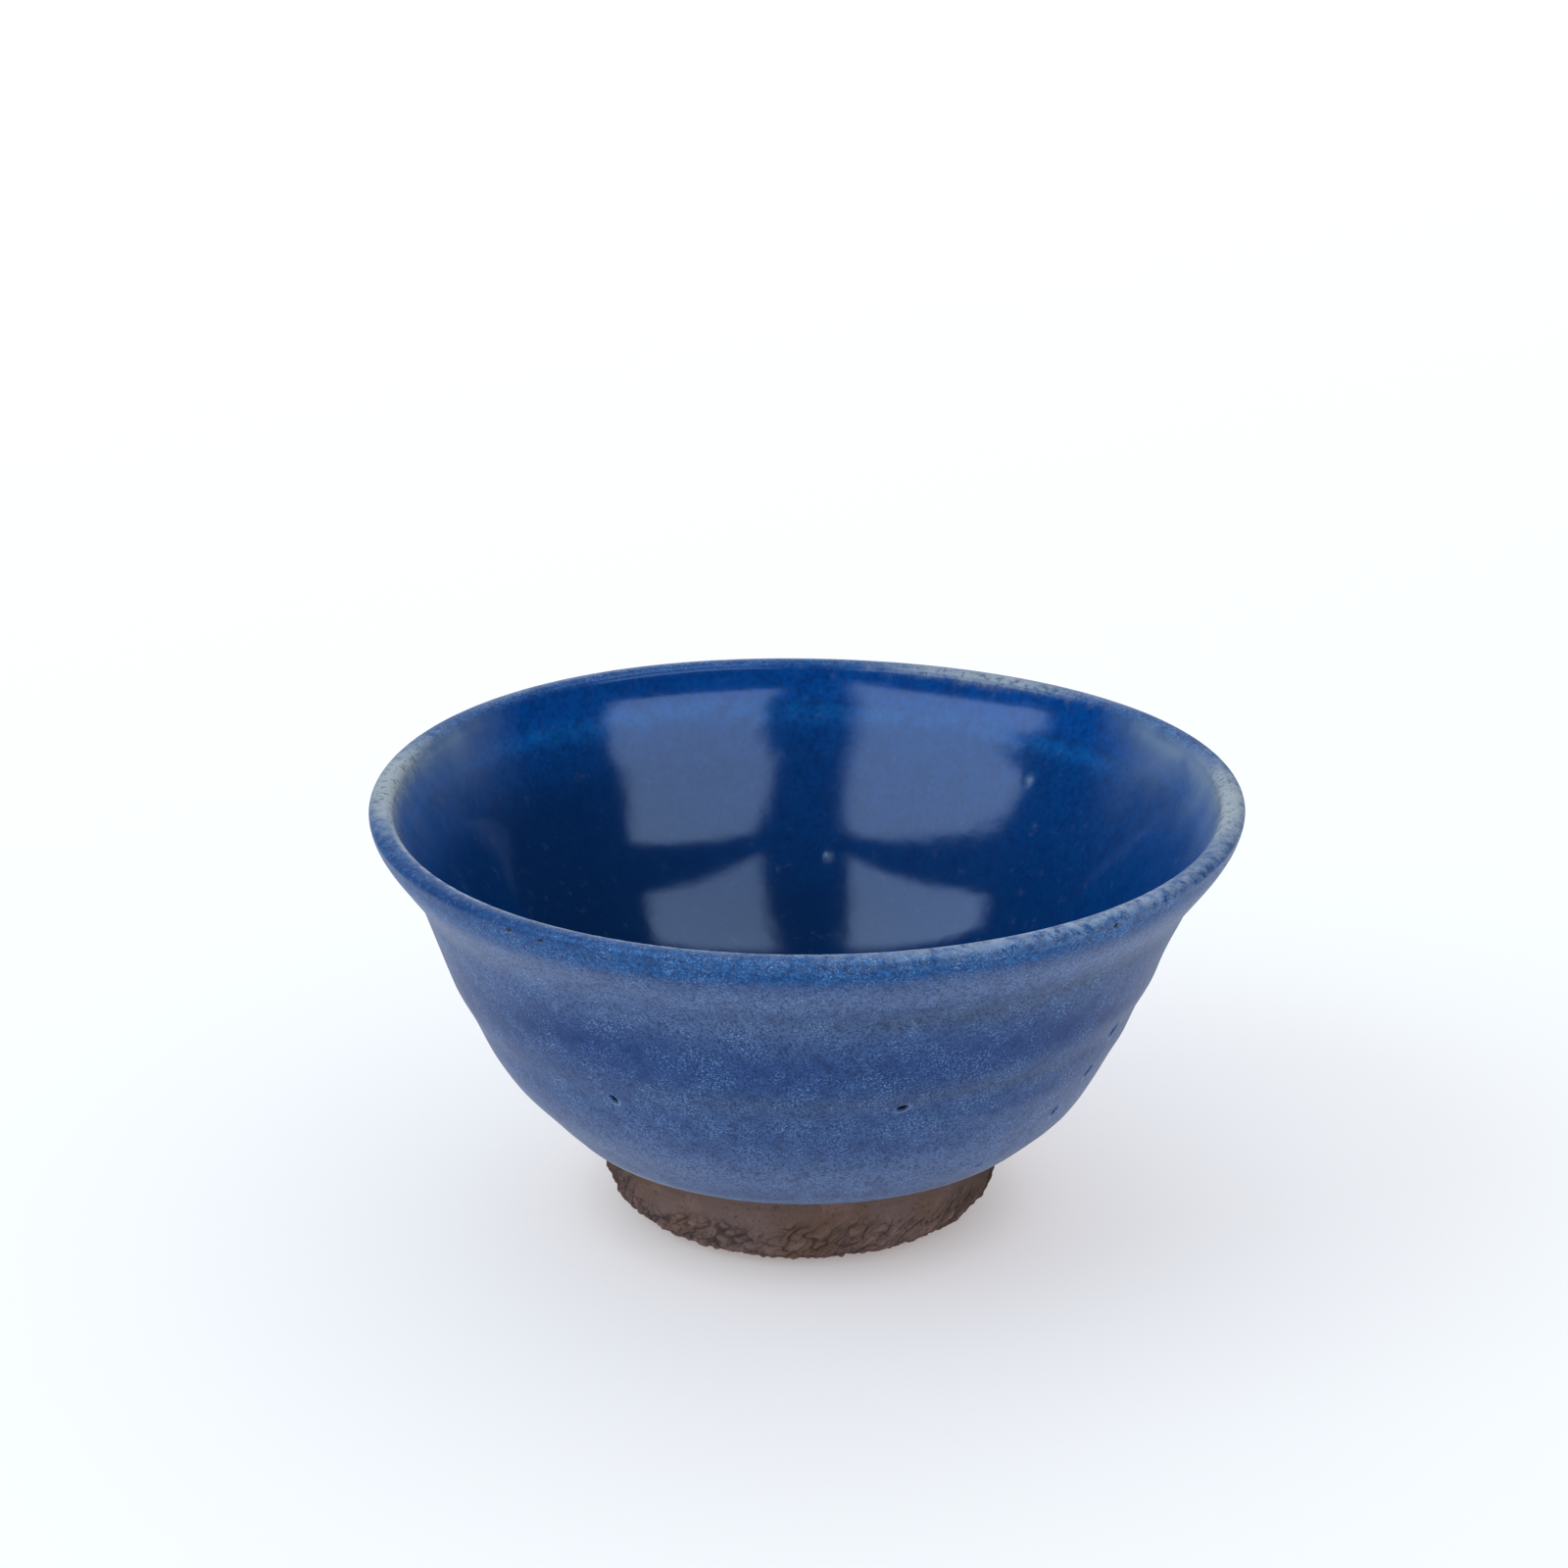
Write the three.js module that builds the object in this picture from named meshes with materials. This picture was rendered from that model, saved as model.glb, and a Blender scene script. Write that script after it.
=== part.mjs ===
// A gongfu tea cup, thrown and turned: a flared stoneware bowl on a foot ring, with a satin blue
// glaze outside, a glossy blue glaze inside and a thin pale glaze over the lip.
// Millimetres, +Z up. The origin is the centre of the foot's resting face.

import * as THREE from "three";

const { degToRad, lerp, smoothstep } = THREE.MathUtils;

// Foot ring
const FOOT_HEIGHT = 8.6; // resting face to the bowl's underside
const FOOT_RADIUS = 18.5; // where the ring is widest
const FOOT_TAPER = 0.2; // how far the ring draws in towards its top
const FOOT_WIDTH = 7.0; // bore to outside, where the ring is widest
const FOOT_EDGE_RUN = 4.0; // rounded outer edge at the bottom, measured across
const FOOT_EDGE_RISE = 4.5; // the same edge, measured upwards
const FOOT_BORE_ROUND = 0.8; // rounded inner edge at the bottom

// Bowl, measured over its glaze
const SHOULDER_RADIUS = 22.0; // lower edge of the outside glaze
const SHOULDER_LIFT = 0.25; // that edge above the bowl's underside
const NECK_RADIUS = 35.6; // where the wall starts to flare
const NECK_RISE = 22.95; // shoulder to neck
const NECK_WALL = 2.0; // wall at the neck, both coats included
const LIP_RADIUS = 40.0; // widest line of the cup
const LIP_RISE = 7.35; // neck to that line
const LIP_WIDTH = 2.5; // breadth of the lip's round, both sides of its coat included
const LIP_CROWN = 0.65; // rounded top above the widest line
const LIP_DROP = 0.5; // how much lower the middle of the round is inside than outside
const FLOOR_THICKNESS = 3.0; // clay under the pooled glaze

// Slopes of the walls in degrees from upright
const SHOULDER_LEAN = 58;
const NECK_LEAN = 21;
const NECK_INSIDE_LEAN = 27;
const LIP_INSIDE_LEAN = 26;

// Lengths of the handles that bend the wall curves, outside from the shoulder up, inside from the lip down
const SHOULDER_HANDLE = 8.0;
const BELLY_HANDLE = 7.9;
const FLARE_HANDLE = 2.0;
const LIP_HANDLE = 2.0;
const LIP_INSIDE_HANDLE = 1.6;
const FLARE_INSIDE_HANDLE = 1.5;
const WELL_SIDE_HANDLE = 10.5;
const WELL_FLOOR_HANDLE = 22.5;

// Glaze coats
const OUTER_GLAZE = 0.5; // depth of the outside coat
const INNER_GLAZE = 0.4; // depth of the inside coat on the wall
const POOL_DEPTH = 1.0; // depth of the inside coat at the middle of the floor
const LIP_GLAZE = 0.3; // depth of the thin coat over the lip
const THINNING_LENGTH = 6.0; // stretch below the lip in which both coats thin down to that
const LIP_BAND_OUT = 0.6; // the lip's coat below the widest line, outside
const LIP_BAND_IN = 0.8; // the same, inside
const BOND_GAP = 0.05; // air between pieces that are fused in the kiln

// Unevenness of a cup thrown by hand, growing from nothing at the foot to this at the lip
const RIM_SHIFT = 0.28; // the lip's centre, towards +X
const RIM_TILT = 0.18; // one rise and fall of the lip to the round
const RIM_SADDLE = 0.24; // two to the round
const RIM_WAVE = 0.165; // three to the round

// Sides where these three are highest, in degrees from +X towards +Y
const RIM_TILT_SIDE = 76;
const RIM_SADDLE_SIDE = -22.5;
const RIM_WAVE_SIDE = 20;

// Facets
const AROUND = 48;
const WALL_STEPS = 16;
const LIP_STEPS = 5;
const BAND_STEPS = 1;
const EDGE_STEPS = 4;

const UNDERSIDE = FOOT_HEIGHT + BOND_GAP;
const SHOULDER = new THREE.Vector2(SHOULDER_RADIUS, UNDERSIDE + SHOULDER_LIFT);
const NECK = new THREE.Vector2(NECK_RADIUS, SHOULDER.y + NECK_RISE);
const LIP = new THREE.Vector2(LIP_RADIUS, NECK.y + LIP_RISE);
const NECK_INSIDE = new THREE.Vector2(NECK.x - NECK_WALL, NECK.y);
const FLOOR_CENTRE = new THREE.Vector2(0, UNDERSIDE + FLOOR_THICKNESS + POOL_DEPTH);

// The round over the lip is two quarters of ellipses, from the widest line inwards.
// The inner one stops where it has the slope of the well.
const LIP_ROUND_RATIO = (LIP_CROWN + LIP_DROP) / (LIP_WIDTH / 2);
const LIP_ROUND_END = Math.PI - Math.atan(LIP_ROUND_RATIO * Math.tan(degToRad(LIP_INSIDE_LEAN)));

function lipPoint(turn, depth) {
  const half = LIP_WIDTH / 2;
  const drop = turn > Math.PI / 2 ? LIP_DROP : 0;
  return new THREE.Vector2(
    LIP.x - half + (half - depth) * Math.cos(turn),
    LIP.y - drop + (LIP_CROWN + drop - depth) * Math.sin(turn),
  );
}

const LIP_INSIDE = lipPoint(LIP_ROUND_END, 0);

// The point at a distance from another, along a slope given in degrees from upright.
function along(point, lean, distance) {
  const slope = degToRad(lean);
  return new THREE.Vector2(Math.sin(slope), Math.cos(slope)).multiplyScalar(distance).add(point);
}

function pathOf(...curves) {
  const path = new THREE.CurvePath();
  curves.forEach((curve) => path.add(curve));
  return path;
}

// The outside wall, from the shoulder up to the widest line of the lip.
const outside = pathOf(
  new THREE.CubicBezierCurve(
    SHOULDER,
    along(SHOULDER, SHOULDER_LEAN, SHOULDER_HANDLE),
    along(NECK, NECK_LEAN, -BELLY_HANDLE),
    NECK,
  ),
  new THREE.CubicBezierCurve(NECK, along(NECK, NECK_LEAN, FLARE_HANDLE), along(LIP, 0, -LIP_HANDLE), LIP),
);

// The inside wall, from the lip down to the middle of the floor.
const inside = pathOf(
  new THREE.CubicBezierCurve(
    LIP_INSIDE,
    along(LIP_INSIDE, LIP_INSIDE_LEAN, -LIP_INSIDE_HANDLE),
    along(NECK_INSIDE, NECK_INSIDE_LEAN, FLARE_INSIDE_HANDLE),
    NECK_INSIDE,
  ),
  new THREE.CubicBezierCurve(
    NECK_INSIDE,
    along(NECK_INSIDE, NECK_INSIDE_LEAN, -WELL_SIDE_HANDLE),
    new THREE.Vector2(WELL_FLOOR_HANDLE, FLOOR_CENTRE.y),
    FLOOR_CENTRE,
  ),
);

// A station holds three points of a wall: the glaze's skin, its underside and the clay below it.
function station(pointAtDepth, depth) {
  return { skin: pointAtDepth(0), under: pointAtDepth(depth - BOND_GAP), clay: pointAtDepth(depth) };
}

// Stations along a wall's curve, between two distances from its start.
function wallStations(curve, from, to, steps, depthAt) {
  return Array.from({ length: steps + 1 }, (_, step) => {
    const distance = lerp(from, to, step / steps);
    const share = distance / curve.getLength();
    const point = curve.getPoint(share);
    const tangent = curve.getTangent(share);
    const inwards = new THREE.Vector2(-tangent.y, tangent.x);
    return station((depth) => inwards.clone().multiplyScalar(depth).add(point), depthAt(distance));
  });
}

// Stations over the lip's round, outside to inside, without its two ends.
function lipStations() {
  return Array.from({ length: LIP_STEPS - 1 }, (_, step) => {
    const turn = (LIP_ROUND_END * (step + 1)) / LIP_STEPS;
    return station((depth) => lipPoint(turn, depth), LIP_GLAZE);
  });
}

const outsideLength = outside.getLength();
const insideLength = inside.getLength();

function outsideDepth(distance) {
  const thinning = Math.min(1, (outsideLength - distance) / THINNING_LENGTH);
  return lerp(LIP_GLAZE, OUTER_GLAZE, thinning);
}

function insideDepth(distance) {
  const thinning = Math.min(1, distance / THINNING_LENGTH);
  const pooling = smoothstep(distance, insideLength / 2, insideLength);
  return lerp(lerp(LIP_GLAZE, INNER_GLAZE, thinning), POOL_DEPTH, pooling);
}

const bandStart = outsideLength - LIP_BAND_OUT;
const outsideStations = wallStations(outside, 0, bandStart - BOND_GAP, WALL_STEPS, outsideDepth);
const bandOutside = wallStations(outside, bandStart, outsideLength, BAND_STEPS, outsideDepth);
const bandInside = wallStations(inside, 0, LIP_BAND_IN, BAND_STEPS, insideDepth);
const insideStart = LIP_BAND_IN + BOND_GAP;
const insideStations = wallStations(inside, insideStart, insideLength, WALL_STEPS, insideDepth);
const bandStations = [...bandOutside, ...lipStations(), ...bandInside];

const skins = (stations) => stations.map(({ skin }) => skin);
const clays = (stations) => stations.map(({ clay }) => clay);
const undersBack = (stations) => stations.map(({ under }) => under).reverse();

// Points of an elliptic arc from one angle to another, in degrees, ends included.
function arc(centre, run, rise, from, to) {
  return Array.from({ length: EDGE_STEPS + 1 }, (_, step) => {
    const turn = degToRad(lerp(from, to, step / EDGE_STEPS));
    return new THREE.Vector2(centre.x + run * Math.cos(turn), centre.y + rise * Math.sin(turn));
  });
}

const closed = (points) => [...points, points[0]];

// The clay under both coats, with a flat underside that seats on the foot ring.
function bowlProfile() {
  const lowest = outsideStations[0].clay;
  const edge = lowest.x - (lowest.y - UNDERSIDE) * Math.tan(degToRad(SHOULDER_LEAN));
  return [
    new THREE.Vector2(0, UNDERSIDE),
    new THREE.Vector2(edge, UNDERSIDE),
    ...clays(outsideStations),
    ...clays(bandStations),
    ...clays(insideStations).slice(0, -1),
    new THREE.Vector2(0, UNDERSIDE + FLOOR_THICKNESS),
  ];
}

function footProfile() {
  const bore = FOOT_RADIUS - FOOT_WIDTH;
  const boreEdge = new THREE.Vector2(bore + FOOT_BORE_ROUND, FOOT_BORE_ROUND);
  const outerEdge = new THREE.Vector2(FOOT_RADIUS - FOOT_EDGE_RUN, FOOT_EDGE_RISE);
  return closed([
    ...arc(boreEdge, FOOT_BORE_ROUND, FOOT_BORE_ROUND, 180, 270),
    ...arc(outerEdge, FOOT_EDGE_RUN, FOOT_EDGE_RISE, 270, 360),
    new THREE.Vector2(FOOT_RADIUS - FOOT_TAPER, FOOT_HEIGHT),
    new THREE.Vector2(bore, FOOT_HEIGHT),
  ]);
}

// The outside coat ends in a rolled edge at the shoulder.
function outerGlazeProfile() {
  const { skin, under } = outsideStations[0];
  const middle = skin.clone().add(under).divideScalar(2);
  const half = skin.distanceTo(under) / 2;
  const roll = arc(middle, half, half, 180 - SHOULDER_LEAN, 360 - SHOULDER_LEAN).slice(1, -1);
  return closed([...skins(outsideStations), ...undersBack(outsideStations), ...roll]);
}

function rimGlazeProfile() {
  return closed([...skins(bandStations), ...undersBack(bandStations)]);
}

function innerGlazeProfile() {
  const poolUnderside = new THREE.Vector2(0, UNDERSIDE + FLOOR_THICKNESS + BOND_GAP);
  return [
    poolUnderside,
    ...undersBack(insideStations).slice(1),
    ...skins(insideStations).slice(0, -1),
    FLOOR_CENTRE,
  ];
}

const rimWaves = [
  { size: RIM_TILT, side: RIM_TILT_SIDE },
  { size: RIM_SADDLE, side: RIM_SADDLE_SIDE },
  { size: RIM_WAVE, side: RIM_WAVE_SIDE },
];

// How much higher the lip lies over a point than on an even cup, less towards the axis.
function rimLift(x, y) {
  const reach = Math.hypot(x, y) / LIP_RADIUS;
  const angle = Math.atan2(y, x);
  return rimWaves.reduce((lift, { size, side }, i) => {
    const count = i + 1;
    return lift + size * reach ** count * Math.cos(count * (angle - degToRad(side)));
  }, 0);
}

// Shifts and warps a turned shape as a thrown cup is, more towards the lip and not at the foot.
function warp(geometry) {
  const place = geometry.getAttribute("position");
  for (let i = 0; i < place.count; i += 1) {
    const [x, y, z] = [place.getX(i), place.getY(i), place.getZ(i)];
    const share = smoothstep(z, UNDERSIDE, LIP.y);
    place.setXYZ(i, x + share * RIM_SHIFT, y, z + share * rimLift(x, y));
  }
}

function turned(name, profile, color, roughness) {
  const geometry = new THREE.LatheGeometry(profile, AROUND).rotateX(Math.PI / 2);
  warp(geometry);
  geometry.computeVertexNormals();
  const material = new THREE.MeshStandardMaterial({ color, roughness, metalness: 0 });
  const mesh = new THREE.Mesh(geometry, material);
  mesh.name = name;
  return mesh;
}

const cup = new THREE.Group();
cup.name = "gongfu_tea_cup";
cup.add(
  turned("clay_bowl", bowlProfile(), 0x5f4c47, 0.9),
  turned("foot_ring", footProfile(), 0x574845, 0.9),
  turned("outer_glaze", outerGlazeProfile(), 0x405983, 0.35),
  turned("inner_glaze", innerGlazeProfile(), 0x0c3668, 0.1),
  turned("rim_glaze", rimGlazeProfile(), 0x8a9aa5, 0.3),
);

export default cup;
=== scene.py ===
"""A gongfu tea cup: satin blue glaze outside, glossy blue inside, a thin lip and a foot of torn clay.

Sizes are millimetres until a mesh is made, which is in metres, in the part's own frame with +Z up.
Angles around the cup are measured from +X towards +Y, so the side that faces the camera is at -90 degrees.
"""
import math

import bmesh
import bpy
import numpy as np
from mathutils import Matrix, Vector, noise


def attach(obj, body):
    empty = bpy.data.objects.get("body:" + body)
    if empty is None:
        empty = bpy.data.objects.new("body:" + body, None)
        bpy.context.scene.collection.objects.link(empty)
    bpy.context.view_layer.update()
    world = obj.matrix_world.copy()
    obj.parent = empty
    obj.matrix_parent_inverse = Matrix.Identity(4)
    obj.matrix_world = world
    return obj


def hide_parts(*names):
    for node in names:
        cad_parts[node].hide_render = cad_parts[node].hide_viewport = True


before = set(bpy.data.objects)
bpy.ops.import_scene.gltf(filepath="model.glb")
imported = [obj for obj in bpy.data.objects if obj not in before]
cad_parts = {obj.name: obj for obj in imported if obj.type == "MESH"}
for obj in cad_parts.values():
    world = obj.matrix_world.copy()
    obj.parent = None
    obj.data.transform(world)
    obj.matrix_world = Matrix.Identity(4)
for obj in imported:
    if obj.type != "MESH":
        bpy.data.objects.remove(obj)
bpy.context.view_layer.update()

MM = 0.001

# Foot ring
FOOT_HEIGHT = 8.6
FOOT_RADIUS = 18.5
FOOT_TAPER = 0.2
FOOT_WIDTH = 7.0
FOOT_EDGE_RUN = 4.0
FOOT_EDGE_RISE = 4.5
FOOT_BORE_ROUND = 0.8

# Bowl, measured over its glaze
SHOULDER_RADIUS = 22.0
SHOULDER_LIFT = 0.25
NECK_RADIUS = 35.6
NECK_RISE = 22.95
NECK_WALL = 2.0
LIP_RADIUS = 40.0
LIP_RISE = 7.35
LIP_WIDTH = 2.5
LIP_CROWN = 0.65
LIP_DROP = 0.5
FLOOR_THICKNESS = 3.0
SHOULDER_LEAN = 58
NECK_LEAN = 21
NECK_INSIDE_LEAN = 27
LIP_INSIDE_LEAN = 26
SHOULDER_HANDLE = 8.0
BELLY_HANDLE = 7.9
FLARE_HANDLE = 2.0
LIP_HANDLE = 2.0
LIP_INSIDE_HANDLE = 1.6
FLARE_INSIDE_HANDLE = 1.5
WELL_SIDE_HANDLE = 10.5
WELL_FLOOR_HANDLE = 22.5

# Glaze coats
OUTER_GLAZE = 0.5
INNER_GLAZE = 0.4
POOL_DEPTH = 1.0
LIP_GLAZE = 0.3
THINNING_LENGTH = 6.0
LIP_BAND_OUT = 0.6
LIP_BAND_IN = 0.8
BOND_GAP = 0.05

# Unevenness of a cup thrown by hand
RIM_SHIFT = 0.28
RIM_TILT, RIM_TILT_SIDE = 0.18, math.radians(76)
RIM_SADDLE, RIM_SADDLE_SIDE = 0.24, math.radians(-22.5)
RIM_WAVE, RIM_WAVE_SIDE = 0.165, math.radians(20)
SHOULDER_DRIFT, SHOULDER_DRIFT_HEIGHT, SHOULDER_DRIFT_REACH = 0.45, 11.8, 2.6
BELLY_DRIFT, BELLY_DRIFT_HEIGHT, BELLY_DRIFT_REACH = -0.28, 26.5, 5.0

UNDERSIDE = FOOT_HEIGHT + BOND_GAP
SHOULDER = np.array([SHOULDER_RADIUS, UNDERSIDE + SHOULDER_LIFT])
NECK = np.array([NECK_RADIUS, SHOULDER[1] + NECK_RISE])
LIP = np.array([LIP_RADIUS, NECK[1] + LIP_RISE])
NECK_INSIDE = np.array([NECK_RADIUS - NECK_WALL, NECK[1]])
FLOOR_CENTRE = np.array([0.0, UNDERSIDE + FLOOR_THICKNESS + POOL_DEPTH])

# Mesh density
GLAZE_COLUMNS = 720
CLAY_COLUMNS = 240
FOOT_COLUMNS = 760
OUTER_ROW = 0.42
INNER_ROW = 0.5
RIM_ROW = 0.12
HIDDEN_ROW = 2.5
ROLL_ROWS = 6
CURVE_STEPS = 400
SHARP_EDGE = math.radians(50)


# Lines of the cross-section, as points of radius and height

def along(point, lean, distance):
    """The point at a distance from another, on a slope given in degrees from upright."""
    slope = math.radians(lean)
    return point + distance * np.array([math.sin(slope), math.cos(slope)])


def bezier(start, start_handle, end_handle, end):
    t = np.linspace(0, 1, CURVE_STEPS + 1)[:, None]
    return (
        (1 - t) ** 3 * start
        + 3 * (1 - t) ** 2 * t * start_handle
        + 3 * (1 - t) * t**2 * end_handle
        + t**3 * end
    )


def straight(start, end):
    t = np.linspace(0, 1, CURVE_STEPS + 1)[:, None]
    return (1 - t) * np.array(start) + t * np.array(end)


def arc(centre, run, rise, from_degrees, to_degrees):
    turn = np.radians(np.linspace(from_degrees, to_degrees, CURVE_STEPS + 1))
    return np.column_stack([centre[0] + run * np.cos(turn), centre[1] + rise * np.sin(turn)])


def joined(*lines):
    """One line through several that meet end to start."""
    return np.vstack([lines[0], *[line[1:] for line in lines[1:]]])


def outside_line():
    belly = bezier(
        SHOULDER,
        along(SHOULDER, SHOULDER_LEAN, SHOULDER_HANDLE),
        along(NECK, NECK_LEAN, -BELLY_HANDLE),
        NECK,
    )
    flare = bezier(NECK, along(NECK, NECK_LEAN, FLARE_HANDLE), along(LIP, 0, -LIP_HANDLE), LIP)
    return joined(belly, flare)


def over_lip_line():
    """The lip's round: an outer quarter and an inner one that stops where it has the slope of the well."""
    half, rise = LIP_WIDTH / 2, LIP_CROWN + LIP_DROP
    middle = LIP - np.array([half, 0])
    end = 180 - math.degrees(math.atan(rise / half * math.tan(math.radians(LIP_INSIDE_LEAN))))
    outer = arc(middle, half, LIP_CROWN, 0, 90)
    inner = arc(middle - np.array([0, LIP_DROP]), half, rise, 90, end)
    return joined(outer, inner)


def inside_line():
    start = over_lip_line()[-1]
    flare = bezier(
        start,
        along(start, LIP_INSIDE_LEAN, -LIP_INSIDE_HANDLE),
        along(NECK_INSIDE, NECK_INSIDE_LEAN, FLARE_INSIDE_HANDLE),
        NECK_INSIDE,
    )
    well = bezier(
        NECK_INSIDE,
        along(NECK_INSIDE, NECK_INSIDE_LEAN, -WELL_SIDE_HANDLE),
        np.array([WELL_FLOOR_HANDLE, FLOOR_CENTRE[1]]),
        FLOOR_CENTRE,
    )
    return joined(flare, well)


class Line:
    """A line of the cross-section that gives its point and direction at any distance from its start."""

    def __init__(self, points):
        self.points = points
        steps = np.hypot(*np.diff(points, axis=0).T)
        self.at = np.concatenate([[0], np.cumsum(steps)])
        self.length = self.at[-1]
        self.directions = np.gradient(points, self.at, axis=0)
        self.directions /= np.linalg.norm(self.directions, axis=1)[:, None]

    def _look_up(self, table, distance):
        return np.column_stack([np.interp(distance, self.at, column) for column in table.T])

    def point(self, distance):
        return self._look_up(self.points, distance)

    def direction(self, distance):
        return self._look_up(self.directions, distance)

    def distance_at_height(self, height):
        """The distance at which a line that only rises, or only falls, has the given height."""
        heights = self.points[:, 1]
        rising = heights[-1] > heights[0]
        order = slice(None) if rising else slice(None, None, -1)
        return float(np.interp(height, heights[order], self.at[order]))


WALL = Line(outside_line())
WELL = Line(inside_line())
# The glaze's whole skin, from the shoulder up, over the lip and down to the middle of the floor.
COAT = Line(joined(WALL.points, over_lip_line(), WELL.points))
INSIDE_START = COAT.length - WELL.length
CREST = WALL.length + Line(over_lip_line()[: CURVE_STEPS + 1]).length
RIM_START = WALL.length - LIP_BAND_OUT
RIM_END = INSIDE_START + LIP_BAND_IN


def smoothstep(value, low, high):
    t = np.clip((value - low) / (high - low), 0, 1)
    return t * t * (3 - 2 * t)


def bell(value, middle, reach):
    return np.exp(-(((value - middle) / reach) ** 2))


def coat_depth(distance):
    """How thick the glaze is at a distance along its skin."""
    outer_thinning = np.clip((WALL.length - distance) / THINNING_LENGTH, 0, 1)
    outer = LIP_GLAZE + (OUTER_GLAZE - LIP_GLAZE) * outer_thinning
    below_lip = distance - INSIDE_START
    inner_thinning = np.clip(below_lip / THINNING_LENGTH, 0, 1)
    inner = LIP_GLAZE + (INNER_GLAZE - LIP_GLAZE) * inner_thinning
    inner = inner + (POOL_DEPTH - inner) * smoothstep(below_lip, WELL.length / 2, WELL.length)
    return np.where(distance < WALL.length, outer, inner)


# Noise

ROUND_SAMPLES = 1440


def on_circle(angle, radius, height):
    return np.column_stack([radius * np.cos(angle), radius * np.sin(angle), height + 0 * angle])


def clouds(points, size, seed=0.0, stretch=(1, 1, 1)):
    """Soft noise from -1 to 1, with lumps of about the given size, at points in millimetres."""
    places = points / (size * np.array(stretch)) + np.array([seed, -seed, 2 * seed])
    return np.array([noise.noise(place) for place in places.tolist()])


def cells(points, size, seed=0.0):
    """For points in millimetres: how far each is from the border of its cell, and its cell's own value."""
    places = points / size + np.array([seed, -seed, 2 * seed])
    found = [noise.voronoi(place) for place in places.tolist()]
    border = np.array([distances[1] - distances[0] for distances, _ in found])
    value = np.array([noise.cell(centres[0] * 7.3) for _, centres in found])
    return border, value


def clouds_round(angle, size, seed=0.0, radius=LIP_RADIUS):
    """The soft noise along a circle, for angles in radians."""
    turns = np.linspace(-math.pi, math.pi, ROUND_SAMPLES + 1)
    return np.interp(turn_between(angle, 0), turns, clouds(on_circle(turns, radius, 0), size, seed))


def turn_between(angle, other):
    """Signed turn from one angle to another, at most half a turn."""
    return (angle - other + math.pi) % (2 * math.pi) - math.pi


def side(angle, degrees, reach):
    """1 at an angle around the cup, falling to nothing at both sides of it. The reach is in degrees too."""
    return bell(turn_between(angle, math.radians(degrees)), 0, math.radians(reach))


# Relief of the glaze, in millimetres out of its skin

# Rings left by the potter's fingers: height, half width, bulge
WALL_RINGS = (
    (28.2, 2.0, -0.20),
    (23.6, 1.6, 0.22),
    (20.6, 1.2, -0.15),
    (18.0, 1.3, 0.14),
    (14.6, 1.6, 0.12),
)
WELL_RINGS = (
    (35.2, 0.8, 0.03),
    (21.5, 2.0, 0.02),
)
# How far the rings climb on one side: height, angle and reach in degrees
RING_CLIMB, RING_CLIMB_SIDE, RING_CLIMB_REACH = 1.8, -38, 32
RING_WANDER, RING_WANDER_SIZE = 0.7, 30.0
RING_FADE, RING_FADE_SIZE = 0.5, 26.0
SWELL, SWELL_SIZE = 0.14, 14.0
WELL_SWELL, WELL_SWELL_SIZE = 0.05, 9.0
DIMPLE, WELL_DIMPLE, DIMPLE_SIZE = 0.014, 0.006, 1.5
EDGE_ROLL, EDGE_ROLL_REACH = 0.12, 1.4
# A shallow hollow all round under the lip inside: its height, its reach up and down, and its depth
HOLLOW, HOLLOW_UP, HOLLOW_DOWN, HOLLOW_DEPTH = 36.8, 2.4, 4.5, 0.3
EDGE_WAVE, EDGE_WAVE_SIZE, EDGE_WAVE_REACH = 0.3, 7.0, 4.0
CALM_LOW, CALM_HIGH = 3.0, 5.0

# Shallow dents outside: angle, height, reach around and up, depth
DENTS = (
    (-28, 19.5, 13.0, 6.0, 0.40),
    (180, 34.6, 9.0, 1.6, 0.28),
)

# Pinholes in the outside glaze: angle, height, width, length, tilt from upright, depth
PINHOLES = (
    (-122.2, 21.1, 0.78, 1.10, -25, 0.55),
    (-74.1, 21.9, 0.72, 1.15, 70, 0.50),
    (-53.0, 11.8, 0.45, 1.00, 80, 0.26),
    (-27.3, 22.4, 1.20, 1.60, 10, 0.55),
    (-29.9, 18.5, 1.05, 1.45, 15, 0.55),
    (-35.9, 15.3, 1.00, 1.30, 20, 0.45),
    (-48.5, 39.0, 0.40, 0.80, 60, 0.25),
    (-129.5, 39.1, 0.30, 0.90, 90, 0.08),
    (-124.5, 39.0, 0.30, 0.80, 90, 0.08),
    (28.0, 25.5, 0.60, 0.80, 60, 0.45),
    (74.0, 16.2, 0.50, 0.80, 20, 0.40),
    (138.0, 19.4, 0.60, 0.90, 120, 0.44),
    (163.0, 29.5, 0.45, 0.60, 30, 0.36),
)
PIT_FLOOR, PIT_EDGE, PIT_LEFT = 0.35, 1.1, 0.12
PIT_RIM, PIT_RIM_MIDDLE, PIT_RIM_REACH = 0.04, 1.35, 0.30
PATCH_REACH = 1.25
PATCH_CUTS = 4

# Blisters in the inside glaze: angle, height, radius, rise
BLISTERS = (
    (84.8, 22.9, 0.42, 0.11),
    (49.9, 31.9, 0.42, 0.05),
    (-64.0, 27.0, 0.40, 0.10),
    (-148.0, 20.5, 0.40, 0.10),
)


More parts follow.
